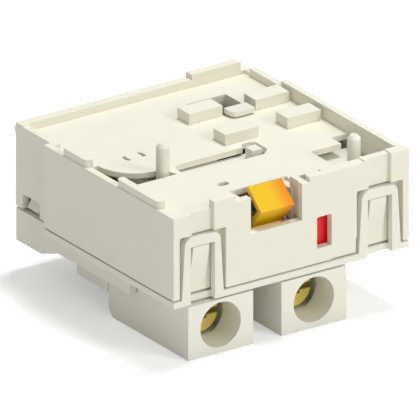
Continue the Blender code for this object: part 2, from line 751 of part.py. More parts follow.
def cut_openings(body):
    """The openings of the mating face: crescent, long slot, pin holes, pocket and trip opening."""
    low = FLOOR_UNDER - PAST
    high = FLOOR_TOP + PAST / 2
    front = CRANK_PIN_Y - PIN_RADIUS - CRESCENT_FRONT_GAP / 2
    right = PIVOT_X + PIN_RADIUS + CRESCENT_FRONT_GAP / 2
    inner = arc((PIVOT_X, PIVOT_Y), CRESCENT_INNER_RADIUS - RUNNING_GAP, -84.0, -180.0, 16)
    crescent = [(RIM_THICKNESS, front), (right, front)] + inner + [(RIM_THICKNESS, PIVOT_Y)]
    cut(body, prism("cut_crescent", crescent, low, high))
    slot_right = SLOT_LEFT + SLOT_LENGTH
    main = stadium((SLOT_LEFT, slot_right), (SLOT_FRONT, SLOT_FRONT + SLOT_WIDTH), 0.4 * SLOT_WIDTH)
    cut(body, prism("cut_long_slot", main, low, high))
    head = stadium((slot_right - SLOT_HEAD_LENGTH, slot_right + SUNK),
                   (SLOT_FRONT + 2 * SUNK, SLOT_FRONT + SLOT_WIDTH + SLOT_HEAD_EXTRA), 0.4 * SLOT_HEAD_LENGTH)
    cut(body, prism("cut_slot_head", head, low - SUNK, high + SUNK))
    pocket = [
        (POCKET_LEFT + POCKET_NOTCH[0], POCKET_FRONT),
        (POCKET_RIGHT, POCKET_FRONT),
        (POCKET_RIGHT, POCKET_REAR),
        (POCKET_LEFT, POCKET_REAR),
        (POCKET_LEFT, POCKET_FRONT + POCKET_NOTCH[1]),
        (POCKET_LEFT + POCKET_NOTCH[0], POCKET_FRONT + POCKET_NOTCH[1]),
    ]
    cut(body, prism("cut_pocket", pocket, low, high))
    hole = stadium((PIN_HOLE_PLACE[0] - PIN_HOLE_SIZE[0] / 2, PIN_HOLE_PLACE[0] + PIN_HOLE_SIZE[0] / 2),
                   (PIN_HOLE_PLACE[1] - PIN_HOLE_SIZE[1] / 2, PIN_HOLE_PLACE[1] + PIN_HOLE_SIZE[1] / 2),
                   0.45 * PIN_HOLE_SIZE[1])
    cut(body, prism("cut_pin_hole", hole, low, high))
    trip_left = BODY_WIDTH - TRIP_OPENING_FROM_RIGHT
    trip_right = BODY_WIDTH - WALL
    notch_left = BODY_WIDTH - TRIP_NOTCH_FROM_RIGHT
    trip = [
        (trip_left, TRIP_OPENING_FRONT),
        (trip_right, TRIP_OPENING_FRONT),
        (trip_right, TRIP_NOTCH_REAR),
        (notch_left, TRIP_NOTCH_REAR),
        (notch_left, TRIP_OPENING_REAR),
        (trip_left, TRIP_OPENING_REAR),
    ]
    cut(body, prism("cut_trip_opening", trip, low, high))


def cut_pivot_holes(body):
    """Two arc-shaped core holes beside the crank's pivot post."""
    for number, middle in enumerate((0.0, 180.0)):
        start = middle - PIVOT_HOLE_HALF_ANGLE
        end = middle + PIVOT_HOLE_HALF_ANGLE
        ring = arc((PIVOT_X, PIVOT_Y), PIVOT_HOLE_OUTER, start, end, 6)
        ring += arc((PIVOT_X, PIVOT_Y), PIVOT_HOLE_INNER, end, start, 6)
        cut(body, prism(f"cut_pivot_hole_{number}", ring, FLOOR_UNDER - PAST, FLOOR_TOP + PAST / 2))


def add_inside_ribs(body):
    """The guide ribs, spring seats, pivot post and pocket walls that hang under the mating face."""
    top = FLOOR_UNDER + SUNK
    front_rib = (SLIDE_FRONT - GUIDE_GAP - GUIDE_RIB, SLIDE_FRONT - GUIDE_GAP)
    rear_rib = (SLIDE_REAR + RAIL_REAR + GUIDE_GAP, SLIDE_REAR + RAIL_REAR + GUIDE_GAP + GUIDE_RIB)
    seat_left = SPRING_ARM_LEFT - SLIDE_SPRING_LENGTH - SEAM_GAP - SPRING_ARM_THICKNESS
    seat_y = (SPRING_AXIS_Y - 1.4 * SPRING_RADIUS, SPRING_AXIS_Y + 1.5 * SPRING_RADIUS)
    trip_rib = (TRIP_LEFT - GUIDE_GAP - GUIDE_RIB, TRIP_LEFT - GUIDE_GAP)
    trip_front = LOOP_POCKET_DEPTH + WALL - SUNK
    pocket_low = FLOOR_UNDER - POCKET_WALL_DROP
    join(
        body,
        box("rib_front", (GUIDE_RIB_LEFT, GUIDE_RIB_LEFT + FRONT_RIB_LENGTH), front_rib, (RIB_BOTTOM, top)),
        box("rib_rear", (GUIDE_RIB_LEFT, GUIDE_RIB_LEFT + REAR_RIB_LENGTH), rear_rib, (RIB_BOTTOM, top)),
        box("seat_slide_spring", (seat_left, seat_left + SPRING_ARM_THICKNESS), seat_y, (RIB_BOTTOM, top)),
        box("rib_trip", trip_rib, (trip_front, TRIP_STOP + SUNK), (RIB_BOTTOM, top)),
        box("seat_trip_spring", (trip_rib[0], BODY_WIDTH - WALL + SUNK), (TRIP_STOP, TRIP_STOP + GUIDE_RIB),
            (RIB_BOTTOM, top)),
        cylinder("pivot_post", (PIVOT_X, PIVOT_Y), PIVOT_POST_RADIUS, CARRIER_BOTTOM, top, "Z", 24),
        box("pocket_right_wall", (POCKET_RIGHT, POCKET_RIGHT + POCKET_WALL),
            (POCKET_FRONT, POCKET_REAR + POCKET_WALL), (pocket_low, top)),
        box("pocket_rear_wall", (POCKET_LEFT, POCKET_RIGHT + SUNK),
            (POCKET_REAR, POCKET_REAR + POCKET_WALL), (pocket_low, top)),
    )


def latch_window_span():
    """Where the latch windows lie along Y, near the rear wall."""
    rear = BODY_DEPTH - LATCH_WINDOW_FROM_REAR
    return (rear - LATCH_WINDOW_LENGTH, rear)


def add_bosses(body):
    """The four locating bosses on the mating face."""
    corners = (
        (BOSS_LEFT, BOSS_FRONT),
        (BOSS_LEFT, BOSS_REAR_LEFT),
        (BOSS_RIGHT, BOSS_FRONT),
        (BOSS_RIGHT, BOSS_REAR_RIGHT),
    )
    height = (FLOOR_TOP - SUNK, FLOOR_TOP + BOSS_SIZE[2])
    for number, (x, y) in enumerate(corners):
        join(body, box(f"boss_{number}", (x, x + BOSS_SIZE[0]), (y, y + BOSS_SIZE[1]), height))


def housing():
    """The upper moulding: mating face, rim, front panel and the guides inside."""
    body = prism("housing", body_outline(), WALL_BOTTOM, RIM_TOP)
    raise_rims(body)
    hollow_out(body)
    shape_front(body)
    add_noses(body)
    add_lever_bearings(body)
    add_left_tabs(body)
    add_inside_ribs(body)
    cut_openings(body)
    cut_pivot_holes(body)
    add_bosses(body)
    bead = circle((BODY_DEPTH, REAR_BEAD_HEIGHT), REAR_BEAD_RADIUS, 16)
    join(body, prism("rear_bead", bead, SIDE_STEP + SUNK, BODY_WIDTH - SIDE_STEP, "X"))
    sides = ((SIDE_STEP - PAST, SIDE_STEP + WALL + SUNK), (BODY_WIDTH - WALL - SUNK, BODY_WIDTH + PAST))
    windows = [(side, latch_window_span(), (0.0, LATCH_WINDOW_TOP)) for side in sides]
    cut(body, boxes("cut_latch_windows", windows))
    body.data.materials.append(plastic("housing", IVORY))
    return body


def loop_outline(centre):
    """A snap loop seen from the front: an inverted U whose legs widen towards the base."""
    foot = LOOP_HALF_FOOT
    top = LOOP_HALF_TOP
    r = LOOP_CORNER
    right_corner = arc((centre + top - r, LOOP_TOP - r), r, 0.0, 90.0, 6)
    left_corner = arc((centre - top + r, LOOP_TOP - r), r, 90.0, 180.0, 6)
    return [(centre - foot, 0.0), (centre - LOOP_HALF_OPENING, 0.0),
            (centre - LOOP_HALF_OPENING, LOOP_OPENING_TOP), (centre + LOOP_HALF_OPENING, LOOP_OPENING_TOP),
            (centre + LOOP_HALF_OPENING, 0.0), (centre + foot, 0.0)] + right_corner + left_corner


def add_loops(cover):
    """Cut the plate back behind each loop and stand the loop on its front edge."""
    for number, centre in enumerate(LOOP_CENTRES):
        opening = (centre - LOOP_HALF_OPENING, centre + LOOP_HALF_OPENING)
        cut(cover, box(f"cut_loop_front_{number}", opening, (-PAST, LOOP_THICKNESS),
                       (-PAST, BASE_THICKNESS + PAST)))
        join(cover, prism(f"loop_{number}", loop_outline(centre), 0.0, LOOP_THICKNESS, "Y"))


def add_underside(cover):
    """The rear foot with its ramp, the two side rails and the skid behind the left box."""
    top = SUNK
    foot = [
        (BODY_DEPTH, top),
        (BODY_DEPTH, -FOOT_DROP),
        (BODY_DEPTH - FOOT_LENGTH, -FOOT_DROP),
        (FOOT_RAMP_FRONT, -RAIL_DROP),
        (FOOT_RAMP_FRONT, top),
    ]
    right = BODY_WIDTH - SIDE_STEP
    join(cover, prism("foot", foot, SIDE_STEP, right, "X"))
    hollow = [
        (BODY_DEPTH - SHELL, BASE_THICKNESS + PAST),
        (BODY_DEPTH - SHELL, SHELL - FOOT_DROP),
        (BODY_DEPTH - FOOT_LENGTH + SHELL / 2, SHELL - FOOT_DROP),
        (FOOT_RAMP_FRONT + SHELL, SHELL - RAIL_DROP),
        (FOOT_RAMP_FRONT + SHELL, BASE_THICKNESS + PAST),
    ]
    cut(cover, prism("cut_foot", hollow, SIDE_STEP + SHELL, right - SHELL, "X"))
    rails = [
        ((SIDE_STEP, SIDE_STEP + RAIL_WIDTH), (RAIL_FRONT, FOOT_RAMP_FRONT + SUNK), (-RAIL_DROP, top)),
        ((right - RAIL_WIDTH, right), (RAIL_FRONT, FOOT_RAMP_FRONT + SUNK), (-RAIL_DROP, top)),
    ]
    join(cover, boxes("side_rails", rails))
    skid_front = BOX_DEPTH + SEAM_GAP
    skid_rear = skid_front + SKID_LENGTH
    skid = [(skid_front, top), (skid_front, -SKID_DROP), (skid_rear - SUNK, -SKID_DROP),
            (skid_rear, SUNK - SKID_DROP), (skid_rear, top)]
    join(cover, prism("skid", skid, BOX_LEFTS[0], BOX_LEFTS[0] + SKID_WIDTH, "X"))


def add_latches(cover):
    """The two latch arms whose noses show in the housing's side windows."""
    front, rear = latch_window_span()
    y = (front + LATCH_THICKNESS, rear - 2 * SEAM_GAP)
    walls = ((SIDE_STEP, 1.0), (BODY_WIDTH, -1.0))
    for number, (face, inward) in enumerate(walls):
        inner = face + inward * (WALL + SEAM_GAP)
        outer = face + inward * 2 * SEAM_GAP
        root = face + inward * SUNK
        profile = [
            (root, 0.0),
            (root, BASE_THICKNESS - SUNK),
            (inner, BASE_THICKNESS - SUNK),
            (inner, WALL_BOTTOM + SEAM_GAP),
            (outer, WALL_BOTTOM + SEAM_GAP),
            (outer, WALL_BOTTOM + 2 * SEAM_GAP),
            (inner, LATCH_WINDOW_TOP - SEAM_GAP),
            (inner, LATCH_HEIGHT),
            (inner + inward * LATCH_THICKNESS, LATCH_HEIGHT),
            (inner + inward * LATCH_THICKNESS, 0.0),
        ]
        join(cover, prism(f"latch_{number}", profile, y[0], y[1], "Y"))


def add_inner_posts(cover):
    """The posts and rails inside that carry the crank, the contact slide and the trip slide."""
    low = BASE_THICKNESS - SUNK
    slide_top = SLIDE_BOTTOM - SEAM_GAP
    left_post = FIXED_TAB_LEFT
    right_post = STRIP_RIGHT + 2 * GUIDE_GAP
    post_y = (NECK_REAR + FLANGE_LIP + GUIDE_GAP, SLIDE_REAR - RUNNING_GAP)
    posts = [
        ((left_post, left_post + POST_SIZE), post_y, (low, slide_top)),
        ((right_post, right_post + POST_SIZE), post_y, (low, slide_top)),
    ]
    rails = []
    for offset in TRIP_RAIL_OFFSETS:
        left = TRIP_LEFT + offset
        rails.append(((left, left + TRIP_RAIL_WIDTH), (TRIP_FRONT, TRIP_REAR + TRIP_TRAVEL),
                      (low, TRIP_BOTTOM - SEAM_GAP)))
    post_top = CRANK_BOTTOM - SEAM_GAP
    join(
        cover,
        boxes("inner_posts", posts),
        boxes("trip_rails", rails),
        cylinder("crank_post", (PIVOT_X, PIVOT_Y), CRANK_POST_RADIUS, low, post_top, "Z", 24),
    )
    cut(cover, cylinder("cut_crank_socket", (PIVOT_X, PIVOT_Y), PIVOT_POST_RADIUS + SEAM_GAP,
                        CARRIER_BOTTOM - SEAM_GAP, CRANK_BOTTOM + PAST, "Z", 24))


def base_cover():
    """The lower moulding: band, snap loops, rear foot, rails and the posts inside."""
    cover = prism("base_cover", body_outline(), 0.0, BASE_THICKNESS)
    add_loops(cover)
    add_underside(cover)
    add_latches(cover)
    necks = []
    for left in BOX_LEFTS:
        x = (left + NECK_INSET - SEAM_GAP, left + BOX_WIDTH - NECK_INSET + SEAM_GAP)
        necks.append((x, (NECK_FRONT - SEAM_GAP, NECK_REAR + SEAM_GAP), (-PAST, BASE_THICKNESS + PAST)))
    cut(cover, boxes("cut_necks", necks))
    add_inner_posts(cover)
    cover.data.materials.append(plastic("base_cover", PALE))
    return cover


def terminal_box(name, left):
    """A terminal box: round screw entry in front, wire entry below, neck and flange on top."""
    right = left + BOX_WIDTH
    profile = [
        (0.0, -BOX_DROP),
        (BOX_DEPTH - BOX_CHAMFER, -BOX_DROP),
        (BOX_DEPTH, BOX_CHAMFER - BOX_DROP),
        (BOX_DEPTH, -SEAM_GAP),
        (0.0, -SEAM_GAP),
    ]
    shell = prism(name, profile, left, right, "X")
    neck_x = (left + NECK_INSET, right - NECK_INSET)
    neck_y = (NECK_FRONT, NECK_REAR)
    flange_x = (neck_x[0] - FLANGE_LIP, neck_x[1] + FLANGE_LIP)
    flange_y = (neck_y[0] - FLANGE_LIP, neck_y[1] + FLANGE_LIP)
    flange_z = (WALL_BOTTOM, WALL_BOTTOM + FLANGE_THICKNESS)
    join(
        shell,
        box(f"{name}_neck", neck_x, neck_y, (-SEAM_GAP - SUNK, WALL_BOTTOM + SUNK)),
        box(f"{name}_flange", flange_x, flange_y, flange_z),
    )
    middle = left + BOX_WIDTH / 2
    chamber_x = (left + BOX_WALL, right - BOX_WALL)
    bar_x = (middle - BAR_WIDTH / 2 - SEAM_GAP, middle + BAR_WIDTH / 2 + SEAM_GAP)
    bar_y = (BAR_FRONT - SEAM_GAP, BAR_REAR + SEAM_GAP)
    entry_x = (chamber_x[0] + WIRE_ENTRY_MARGIN, chamber_x[1] - WIRE_ENTRY_MARGIN)
    entry_y = (CLAMP_FRONT + CLAMP_THICKNESS, BAR_FRONT - SEAM_GAP)
    cut(
        shell,
        cylinder(f"{name}_entry", (middle, BOX_HOLE_Z), BOX_HOLE_RADIUS, -PAST, ENTRY_REAR, "Y", 40),
        box(f"{name}_chamber", chamber_x, (BOX_HOLE_DEPTH, CHAMBER_REAR), (CHAMBER_BOTTOM, CHAMBER_TOP)),
        box(f"{name}_wire_entry", entry_x, entry_y, (-BOX_DROP - PAST, CHAMBER_BOTTOM + SUNK)),
        box(f"{name}_bar_slot", bar_x, bar_y, (CHAMBER_TOP - SUNK, WALL_BOTTOM + FLANGE_THICKNESS + PAST)),
    )
    shell.data.materials.append(plastic(name, PALE))
    return shell


def terminal_screw(name, left):
    """A brass coloured terminal screw with a slot and a square recess, on the box's entry."""
    middle = left + BOX_WIDTH / 2
    head_rear = SCREW_HEAD_FRONT + SCREW_HEAD_THICKNESS
    dome = 0.25 * SCREW_HEAD_THICKNESS
    tip = head_rear + SCREW_LENGTH - SCREW_HEAD_THICKNESS
    profile = [
        (0.92 * SCREW_HEAD_RADIUS, SCREW_HEAD_FRONT),
        (SCREW_HEAD_RADIUS, SCREW_HEAD_FRONT + dome),
        (SCREW_HEAD_RADIUS, head_rear),
        (SCREW_RADIUS, head_rear),
        (SCREW_RADIUS, tip - dome),
        (0.75 * SCREW_RADIUS, tip),
    ]
    screw = turned(name, profile, (middle, BOX_HOLE_Z), "Y", 36)
    half_slot = SCREW_SLOT_WIDTH / 2
    half_square = SCREW_SQUARE / 2
    cut(
        screw,
        box(f"{name}_slot", (middle - SCREW_HEAD_RADIUS - PAST, middle + SCREW_HEAD_RADIUS + PAST),
            (SCREW_HEAD_FRONT - PAST, SCREW_HEAD_FRONT + SCREW_SLOT_DEPTH),
            (BOX_HOLE_Z - half_slot, BOX_HOLE_Z + half_slot)),
        box(f"{name}_square", (middle - half_square, middle + half_square),
            (SCREW_HEAD_FRONT - PAST, SCREW_HEAD_FRONT + SCREW_SLOT_DEPTH + SUNK),
            (BOX_HOLE_Z - half_square, BOX_HOLE_Z + half_square)),
    )
    smooth(screw)
    screw.data.materials.append(metal(name, BRASS))
    origin_at(screw, (middle, SCREW_HEAD_FRONT, BOX_HOLE_Z))
    return screw


def clamp_plate(name, left):
    """The pressed plate under the screw's head, which grips the wire against the bar."""
    middle = left + BOX_WIDTH / 2
    half = BAR_WIDTH / 2
    bottom = CHAMBER_BOTTOM + SEAM_GAP
    top = CHAMBER_TOP - SEAM_GAP
    plate = box(name, (middle - half, middle + half), (CLAMP_FRONT, CLAMP_FRONT + CLAMP_THICKNESS),
                (bottom, top))
    hole = cylinder(f"{name}_hole", (middle, BOX_HOLE_Z), SCREW_RADIUS + THREAD_GAP, CLAMP_FRONT - PAST,
                    CLAMP_FRONT + CLAMP_THICKNESS + PAST, "Y", 24)
    cut(plate, hole)
    plate.data.materials.append(metal(name, STEEL))
    origin_at(plate, (middle, CLAMP_FRONT, BOX_HOLE_Z))
    return plate


def bar_hole(name, left):
    """The threaded hole in a terminal bar, as its plain bore."""
    middle = left + BOX_WIDTH / 2
    return cylinder(name, (middle, BOX_HOLE_Z), SCREW_RADIUS + THREAD_GAP, BAR_FRONT - PAST,
                    BAR_REAR + PAST, "Y", 24)


def fixed_contact_left():
    """The left terminal bar, which rises into the housing and folds forward to its contact."""
    left = BOX_LEFTS[0]
    middle = left + BOX_WIDTH / 2
    bottom = CHAMBER_BOTTOM + SEAM_GAP
    shoulder = STRIP_BOTTOM + STRIP_THICKNESS
    outline = [
        (middle - BAR_WIDTH / 2, bottom),
        (middle + BAR_WIDTH / 2, bottom),
        (middle + BAR_WIDTH / 2, shoulder),
        (FIXED_TAB_RIGHT, shoulder),
        (FIXED_TAB_RIGHT, FIXED_TAB_TOP),
        (middle, FIXED_TAB_TOP),
        (middle - BAR_WIDTH / 2, shoulder),
    ]
    bar = prism("fixed_contact_left", outline, BAR_FRONT, BAR_REAR, "Y")
    tab_front = FIXED_FRONT_TIP - FIXED_TAB_WIDTH / 2
    join(bar, box("left_tab", (FIXED_TAB_LEFT, FIXED_TAB_RIGHT), (tab_front, BAR_FRONT + SUNK),
                  (shoulder, FIXED_TAB_TOP)))
    cut(bar, bar_hole("cut_left_bar_hole", left))
    bar.data.materials.append(metal("fixed_contact_left", COPPER))
    return bar


def fixed_contact_right():
    """The right terminal bar, whose strip runs back and left to the second contact."""
    left = BOX_LEFTS[1]
    middle = left + BOX_WIDTH / 2
    bottom = CHAMBER_BOTTOM + SEAM_GAP
    strip_top = STRIP_BOTTOM + STRIP_THICKNESS
    bar_x = (middle - BAR_WIDTH / 2, middle + BAR_WIDTH / 2)
    bar = box("fixed_contact_right", bar_x, (BAR_FRONT, BAR_REAR), (bottom, strip_top))
    tab_y = (FIXED_REAR_TIP - FIXED_TAB_WIDTH / 2, FIXED_REAR_TIP + FIXED_TAB_WIDTH / 2)
    strip_left = STRIP_RIGHT - STRIP_WIDTH
    strip = [
        (strip_left, BAR_FRONT + SUNK),
        (STRIP_RIGHT, BAR_FRONT + SUNK),
        (STRIP_RIGHT, tab_y[1]),
        (FIXED_TAB_LEFT, tab_y[1]),
        (FIXED_TAB_LEFT, tab_y[0]),
        (strip_left, tab_y[0]),
    ]
    join(
        bar,
        prism("right_strip", strip, STRIP_BOTTOM, strip_top),
        box("right_tab", (FIXED_TAB_LEFT, FIXED_TAB_RIGHT), tab_y, (STRIP_BOTTOM, FIXED_TAB_TOP)),
    )
    cut(bar, bar_hole("cut_right_bar_hole", left))
    bar.data.materials.append(metal("fixed_contact_right", COPPER))
    return bar


def contact_tip(name, low, y):
    """A round silver tip on a contact, lying along X."""
    tip = cylinder(name, (y, BRIDGE_MIDDLE), TIP_RADIUS, low, low + TIP_THICKNESS, "X", 20)
    smooth(tip)
    tip.data.materials.append(metal(name, SILVER))
    return tip


def contact_tips():
    """Two fixed tips and two tips on the bridge, facing each other across the contact gap."""
    for side, y in (("front", FIXED_FRONT_TIP), ("rear", FIXED_REAR_TIP)):
        contact_tip(f"fixed_tip_{side}", FIXED_TAB_RIGHT + TIP_GAP, y)
        contact_tip(f"bridge_tip_{side}", BRIDGE_LEFT - TIP_GAP - TIP_THICKNESS, y)


def contact_bridge():
    """The moving strip that joins the two fixed contacts when the slide is over."""
    y = (FIXED_FRONT_TIP - BRIDGE_OVERHANG, FIXED_REAR_TIP + BRIDGE_OVERHANG)
    outline = stadium(y, (BRIDGE_BOTTOM, BRIDGE_BOTTOM + BRIDGE_HEIGHT), BRIDGE_HEIGHT / 3, 4)
    bridge = prism("contact_bridge", outline, BRIDGE_LEFT, BRIDGE_LEFT + BRIDGE_THICKNESS, "X")
    bridge.data.materials.append(metal("contact_bridge", COPPER))
    return bridge


def contact_slide():
    """The slide under the long slot: yoke for the crank, contact carrier, finger and flag arm."""
    slide = box("contact_slide", (SLIDE_LEFT, SLIDE_RIGHT), (SLIDE_FRONT, SLIDE_REAR),
                (SLIDE_BOTTOM, SLIDE_TOP))
    yoke_x = (PIVOT_X - YOKE_WIDTH / 2, PIVOT_X + YOKE_WIDTH / 2)
    carrier_y = (SLIDE_MIDDLE - CARRIER_DEPTH / 2, SLIDE_MIDDLE + CARRIER_DEPTH / 2)
    arm_x = (FLAG_ARM_LEFT, FLAG_ARM_LEFT + FLAG_ARM_THICKNESS)
    arm_front = FRONT_WALL + FLAG_CLEARANCE + FLAG_THICKNESS + SEAM_GAP
    arm_z = (FLAG_ARM_BOTTOM, FLAG_ARM_BOTTOM + FLAG_ARM_HEIGHT)
    arm_end_y = (arm_front, arm_front + FLAG_ARM_THICKNESS)
    finger_y = (SLIDE_MIDDLE - FINGER_SIZE[1] / 2, SLIDE_MIDDLE + FINGER_SIZE[1] / 2)
    join(
        slide,
        box("yoke", yoke_x, (SLIDE_REAR - SUNK, SLIDE_REAR + YOKE_REACH), (SLIDE_BOTTOM, SLIDE_TOP)),
        box("rail", (RAIL_LEFT, SLIDE_RIGHT), (SLIDE_FRONT + RUNNING_GAP, SLIDE_REAR + RAIL_REAR),
            (SLIDE_TOP - SUNK, SLIDE_TOP + RAIL_HEIGHT)),
        box("finger", (FINGER_LEFT, FINGER_LEFT + FINGER_SIZE[0]), finger_y, (SLIDE_TOP, FINGER_TOP)),
        box("carrier", (CARRIER_LEFT, CARRIER_RIGHT), carrier_y, (CARRIER_BOTTOM, SLIDE_BOTTOM + SUNK)),
        box("spring_arm", (SPRING_ARM_LEFT, SPRING_ARM_LEFT + SPRING_ARM_THICKNESS),
            (SLIDE_REAR - SUNK, SLIDE_REAR + SPRING_ARM_REACH), (SLIDE_BOTTOM, SLIDE_TOP + RAIL_HEIGHT)),
        box("flag_arm", arm_x, (arm_front, carrier_y[0] + SUNK), arm_z),
        box("flag_arm_end", (arm_x[0], FLAG_LEFT + FLAG_WIDTH), arm_end_y, arm_z),
    )
    lug_room = DRIVE_LUG_RADIUS + YOKE_CLEARANCE
    window = (CARRIER_LEFT + CARRIER_WALL, CARRIER_RIGHT - CARRIER_WALL)
    cut(
        slide,
        box("cut_yoke", (PIVOT_X - lug_room, PIVOT_X + lug_room), (DRIVE_LUG_Y - lug_room, PIVOT_Y),
            (SLIDE_BOTTOM - PAST, SLIDE_TOP + PAST)),
        box("cut_carrier", window, (carrier_y[0] - PAST, carrier_y[1] + PAST),
            (CARRIER_BOTTOM + CARRIER_WALL, BRIDGE_BOTTOM + BRIDGE_HEIGHT + SEAM_GAP)),
    )
    slide.data.materials.append(plastic("contact_slide", PALE))
    origin_at(slide, (SLIDE_LEFT, SLIDE_MIDDLE, SLIDE_BOTTOM))
    return slide


def indicator_flag():
    """The red flag on the slide's arm, behind the small window."""
    front = FRONT_WALL + FLAG_CLEARANCE
    flag = box("indicator_flag", (FLAG_LEFT, FLAG_LEFT + FLAG_WIDTH), (front, front + FLAG_THICKNESS),
               (FLAG_BOTTOM, FLAG_BOTTOM + FLAG_HEIGHT))
    flag.data.materials.append(plastic("indicator_flag", RED))
    return flag


def coupling_pin(name, centre, bottom):
    """A coupling pin with a chamfered tip."""
    profile = [
        (PIN_RADIUS, bottom),
        (PIN_RADIUS, PIN_TOP - PIN_CHAMFER_HEIGHT),
        (PIN_RADIUS - PIN_CHAMFER, PIN_TOP),
    ]
    return turned(name, profile, centre, "Z", 24)


def crank():
    """The crank: hub on the pivot post, arm, left coupling pin and drive lug."""
    half = CRANK_ARM_HALF_WIDTH
    outline = arc((PIVOT_X, CRANK_PIN_Y), half, 180.0, 360.0, 12)
    outline += arc((PIVOT_X, PIVOT_Y), CRANK_HUB_RADIUS, -40.0, 220.0, 20)
    arm = prism("crank", outline, CRANK_BOTTOM, CRANK_TOP)
    join(
        arm,
        coupling_pin("crank_pin", (PIVOT_X, CRANK_PIN_Y), CRANK_TOP - SUNK),
        cylinder("drive_lug", (PIVOT_X, DRIVE_LUG_Y), DRIVE_LUG_RADIUS, SLIDE_BOTTOM + RUNNING_GAP,
                 CRANK_BOTTOM + SUNK, "Z", 20),
    )
    cut(arm, cylinder("cut_crank_bore", (PIVOT_X, PIVOT_Y), PIVOT_POST_RADIUS + RUNNING_GAP,
                      CRANK_BOTTOM - PAST, CRANK_TOP + PAST, "Z", 24))
    smooth(arm)
    arm.data.materials.append(plastic("crank", PALE))
    origin_at(arm, (PIVOT_X, PIVOT_Y, CRANK_BOTTOM))
    return arm


def trip_slide():
    """The slide under the right opening, with the right coupling pin."""
    plate = box("trip_slide", (TRIP_LEFT, TRIP_RIGHT), (TRIP_FRONT, TRIP_REAR), (TRIP_BOTTOM, TRIP_TOP))
    join(plate, coupling_pin("trip_pin", (TRIP_PIN_X, TRIP_PIN_Y), TRIP_TOP - SUNK))
    smooth(plate)
    plate.data.materials.append(plastic("trip_slide", PALE))
    origin_at(plate, (TRIP_PIN_X, TRIP_PIN_Y, TRIP_BOTTOM))
    return plate


def offset_corner(before, corner, after, distance):
    """The corner of a line kept at a distance from the corner of the drawn one."""
    first = (Vector(corner) - Vector(before)).normalized()
    second = (Vector(after) - Vector(corner)).normalized()
    side = Vector((-first.y, first.x)) + Vector((-second.y, second.x))
    side.normalize()
    reach = distance / side.dot(Vector((-first.y, first.x)))
    return tuple(Vector(corner) + side * reach)


def lever():
    """The yellow lever: a folded V plate on a hub, hinged at the foot of its window."""
    inner = offset_corner(LEVER_TOP, LEVER_RIDGE, LEVER_FOOT, LEVER_THICKNESS)
    up = (Vector(LEVER_TOP) - Vector(LEVER_RIDGE)).normalized()
    down = (Vector(LEVER_FOOT) - Vector(LEVER_RIDGE)).normalized()
    top_back = Vector(LEVER_TOP) + Vector((up.y, -up.x)) * LEVER_THICKNESS
    foot_front = Vector(LEVER_FOOT) + down * LEVER_HUB_RADIUS
    foot_back = foot_front + Vector((-down.y, down.x)) * LEVER_THICKNESS
    outline = [LEVER_TOP, LEVER_RIDGE, tuple(foot_front), tuple(foot_back), inner, tuple(top_back)]
    right = LEVER_LEFT + LEVER_WIDTH
    flare = right + LEVER_FLARE
    blade = prism("lever", outline, LEVER_LEFT, flare, "X")
    taper = [
        (flare, LEVER_RIDGE[1]),
        (right, LEVER_FOOT[1] + LEVER_THICKNESS),
        (right, 0.0),
        (flare + PAST, 0.0),
        (flare + PAST, LEVER_RIDGE[1]),
    ]
    cut(blade, prism("cut_lever_taper", taper, -PAST, LEVER_AXIS[0] + PAST, "Y"))
    join(blade, cylinder("lever_hub", LEVER_AXIS, LEVER_HUB_RADIUS, LEVER_LEFT, right, "X", 28))
    cut(blade, cylinder("cut_lever_bore", LEVER_AXIS, LEVER_PIN_RADIUS + RUNNING_GAP / 2, LEVER_LEFT - PAST,
                        right + PAST, "X", 20))
    smooth(blade)
    blade.data.materials.append(plastic("lever", YELLOW))
    origin_at(blade, (LEVER_LEFT + LEVER_WIDTH / 2, LEVER_AXIS[0], LEVER_AXIS[1]))
    return blade


def lever_pin():
    """The steel pin that the lever turns on, held in the two ears."""
    right = LEVER_WINDOW_LEFT + LEVER_WINDOW_WIDTH + LEVER_CHEEK
    pin = cylinder("lever_pin", LEVER_AXIS, LEVER_PIN_RADIUS, LEVER_WINDOW_LEFT, right, "X", 20)
    smooth(pin)
    pin.data.materials.append(metal("lever_pin", STEEL))
    return pin


def lever_spring():
    """The torsion spring round the pin, right of the lever, with its two legs."""
    low = LEVER_LEFT + LEVER_WIDTH + SEAM_GAP + TORSION_WIRE
    high = LEVER_WINDOW_LEFT + LEVER_WINDOW_WIDTH - SEAM_GAP - TORSION_WIRE
    steps = 14
    total = TORSION_TURNS * steps
    points = []
    for i in range(total + 1):
        angle = 2 * math.pi * i / steps
        y = LEVER_AXIS[0] + TORSION_RADIUS * math.cos(angle)
        z = LEVER_AXIS[1] + TORSION_RADIUS * math.sin(angle)
        points.append((low + (high - low) * i / total, y, z))
    reach = 2 * TORSION_RADIUS
    first = (low, points[0][1], points[0][2] - reach)
    last = (high, points[-1][1], points[-1][2] + reach)
    spring = tube("lever_spring", [first] + points + [last], TORSION_WIRE)
    spring.data.materials.append(metal("lever_spring", STEEL))
    smooth(spring)
    return spring


def springs():
    """The return springs of the two slides and the contact spring in the carrier."""
    slide_low = SPRING_ARM_LEFT - SLIDE_SPRING_LENGTH - SEAM_GAP
    compression_spring("slide_spring", (SPRING_AXIS_Y, SPRING_AXIS_Z), slide_low, SPRING_ARM_LEFT, "X")
    trip_axis = (TRIP_SPRING_X, TRIP_BOTTOM + TRIP_THICKNESS / 2)
    compression_spring("trip_spring", trip_axis, TRIP_REAR, TRIP_STOP, "Y")
    compression_spring("contact_spring", (SLIDE_MIDDLE, BRIDGE_MIDDLE), BRIDGE_LEFT + BRIDGE_THICKNESS,
                       CARRIER_RIGHT - CARRIER_WALL, "X", 4, BRIDGE_HEIGHT / 2 - SPRING_WIRE - RUNNING_GAP)


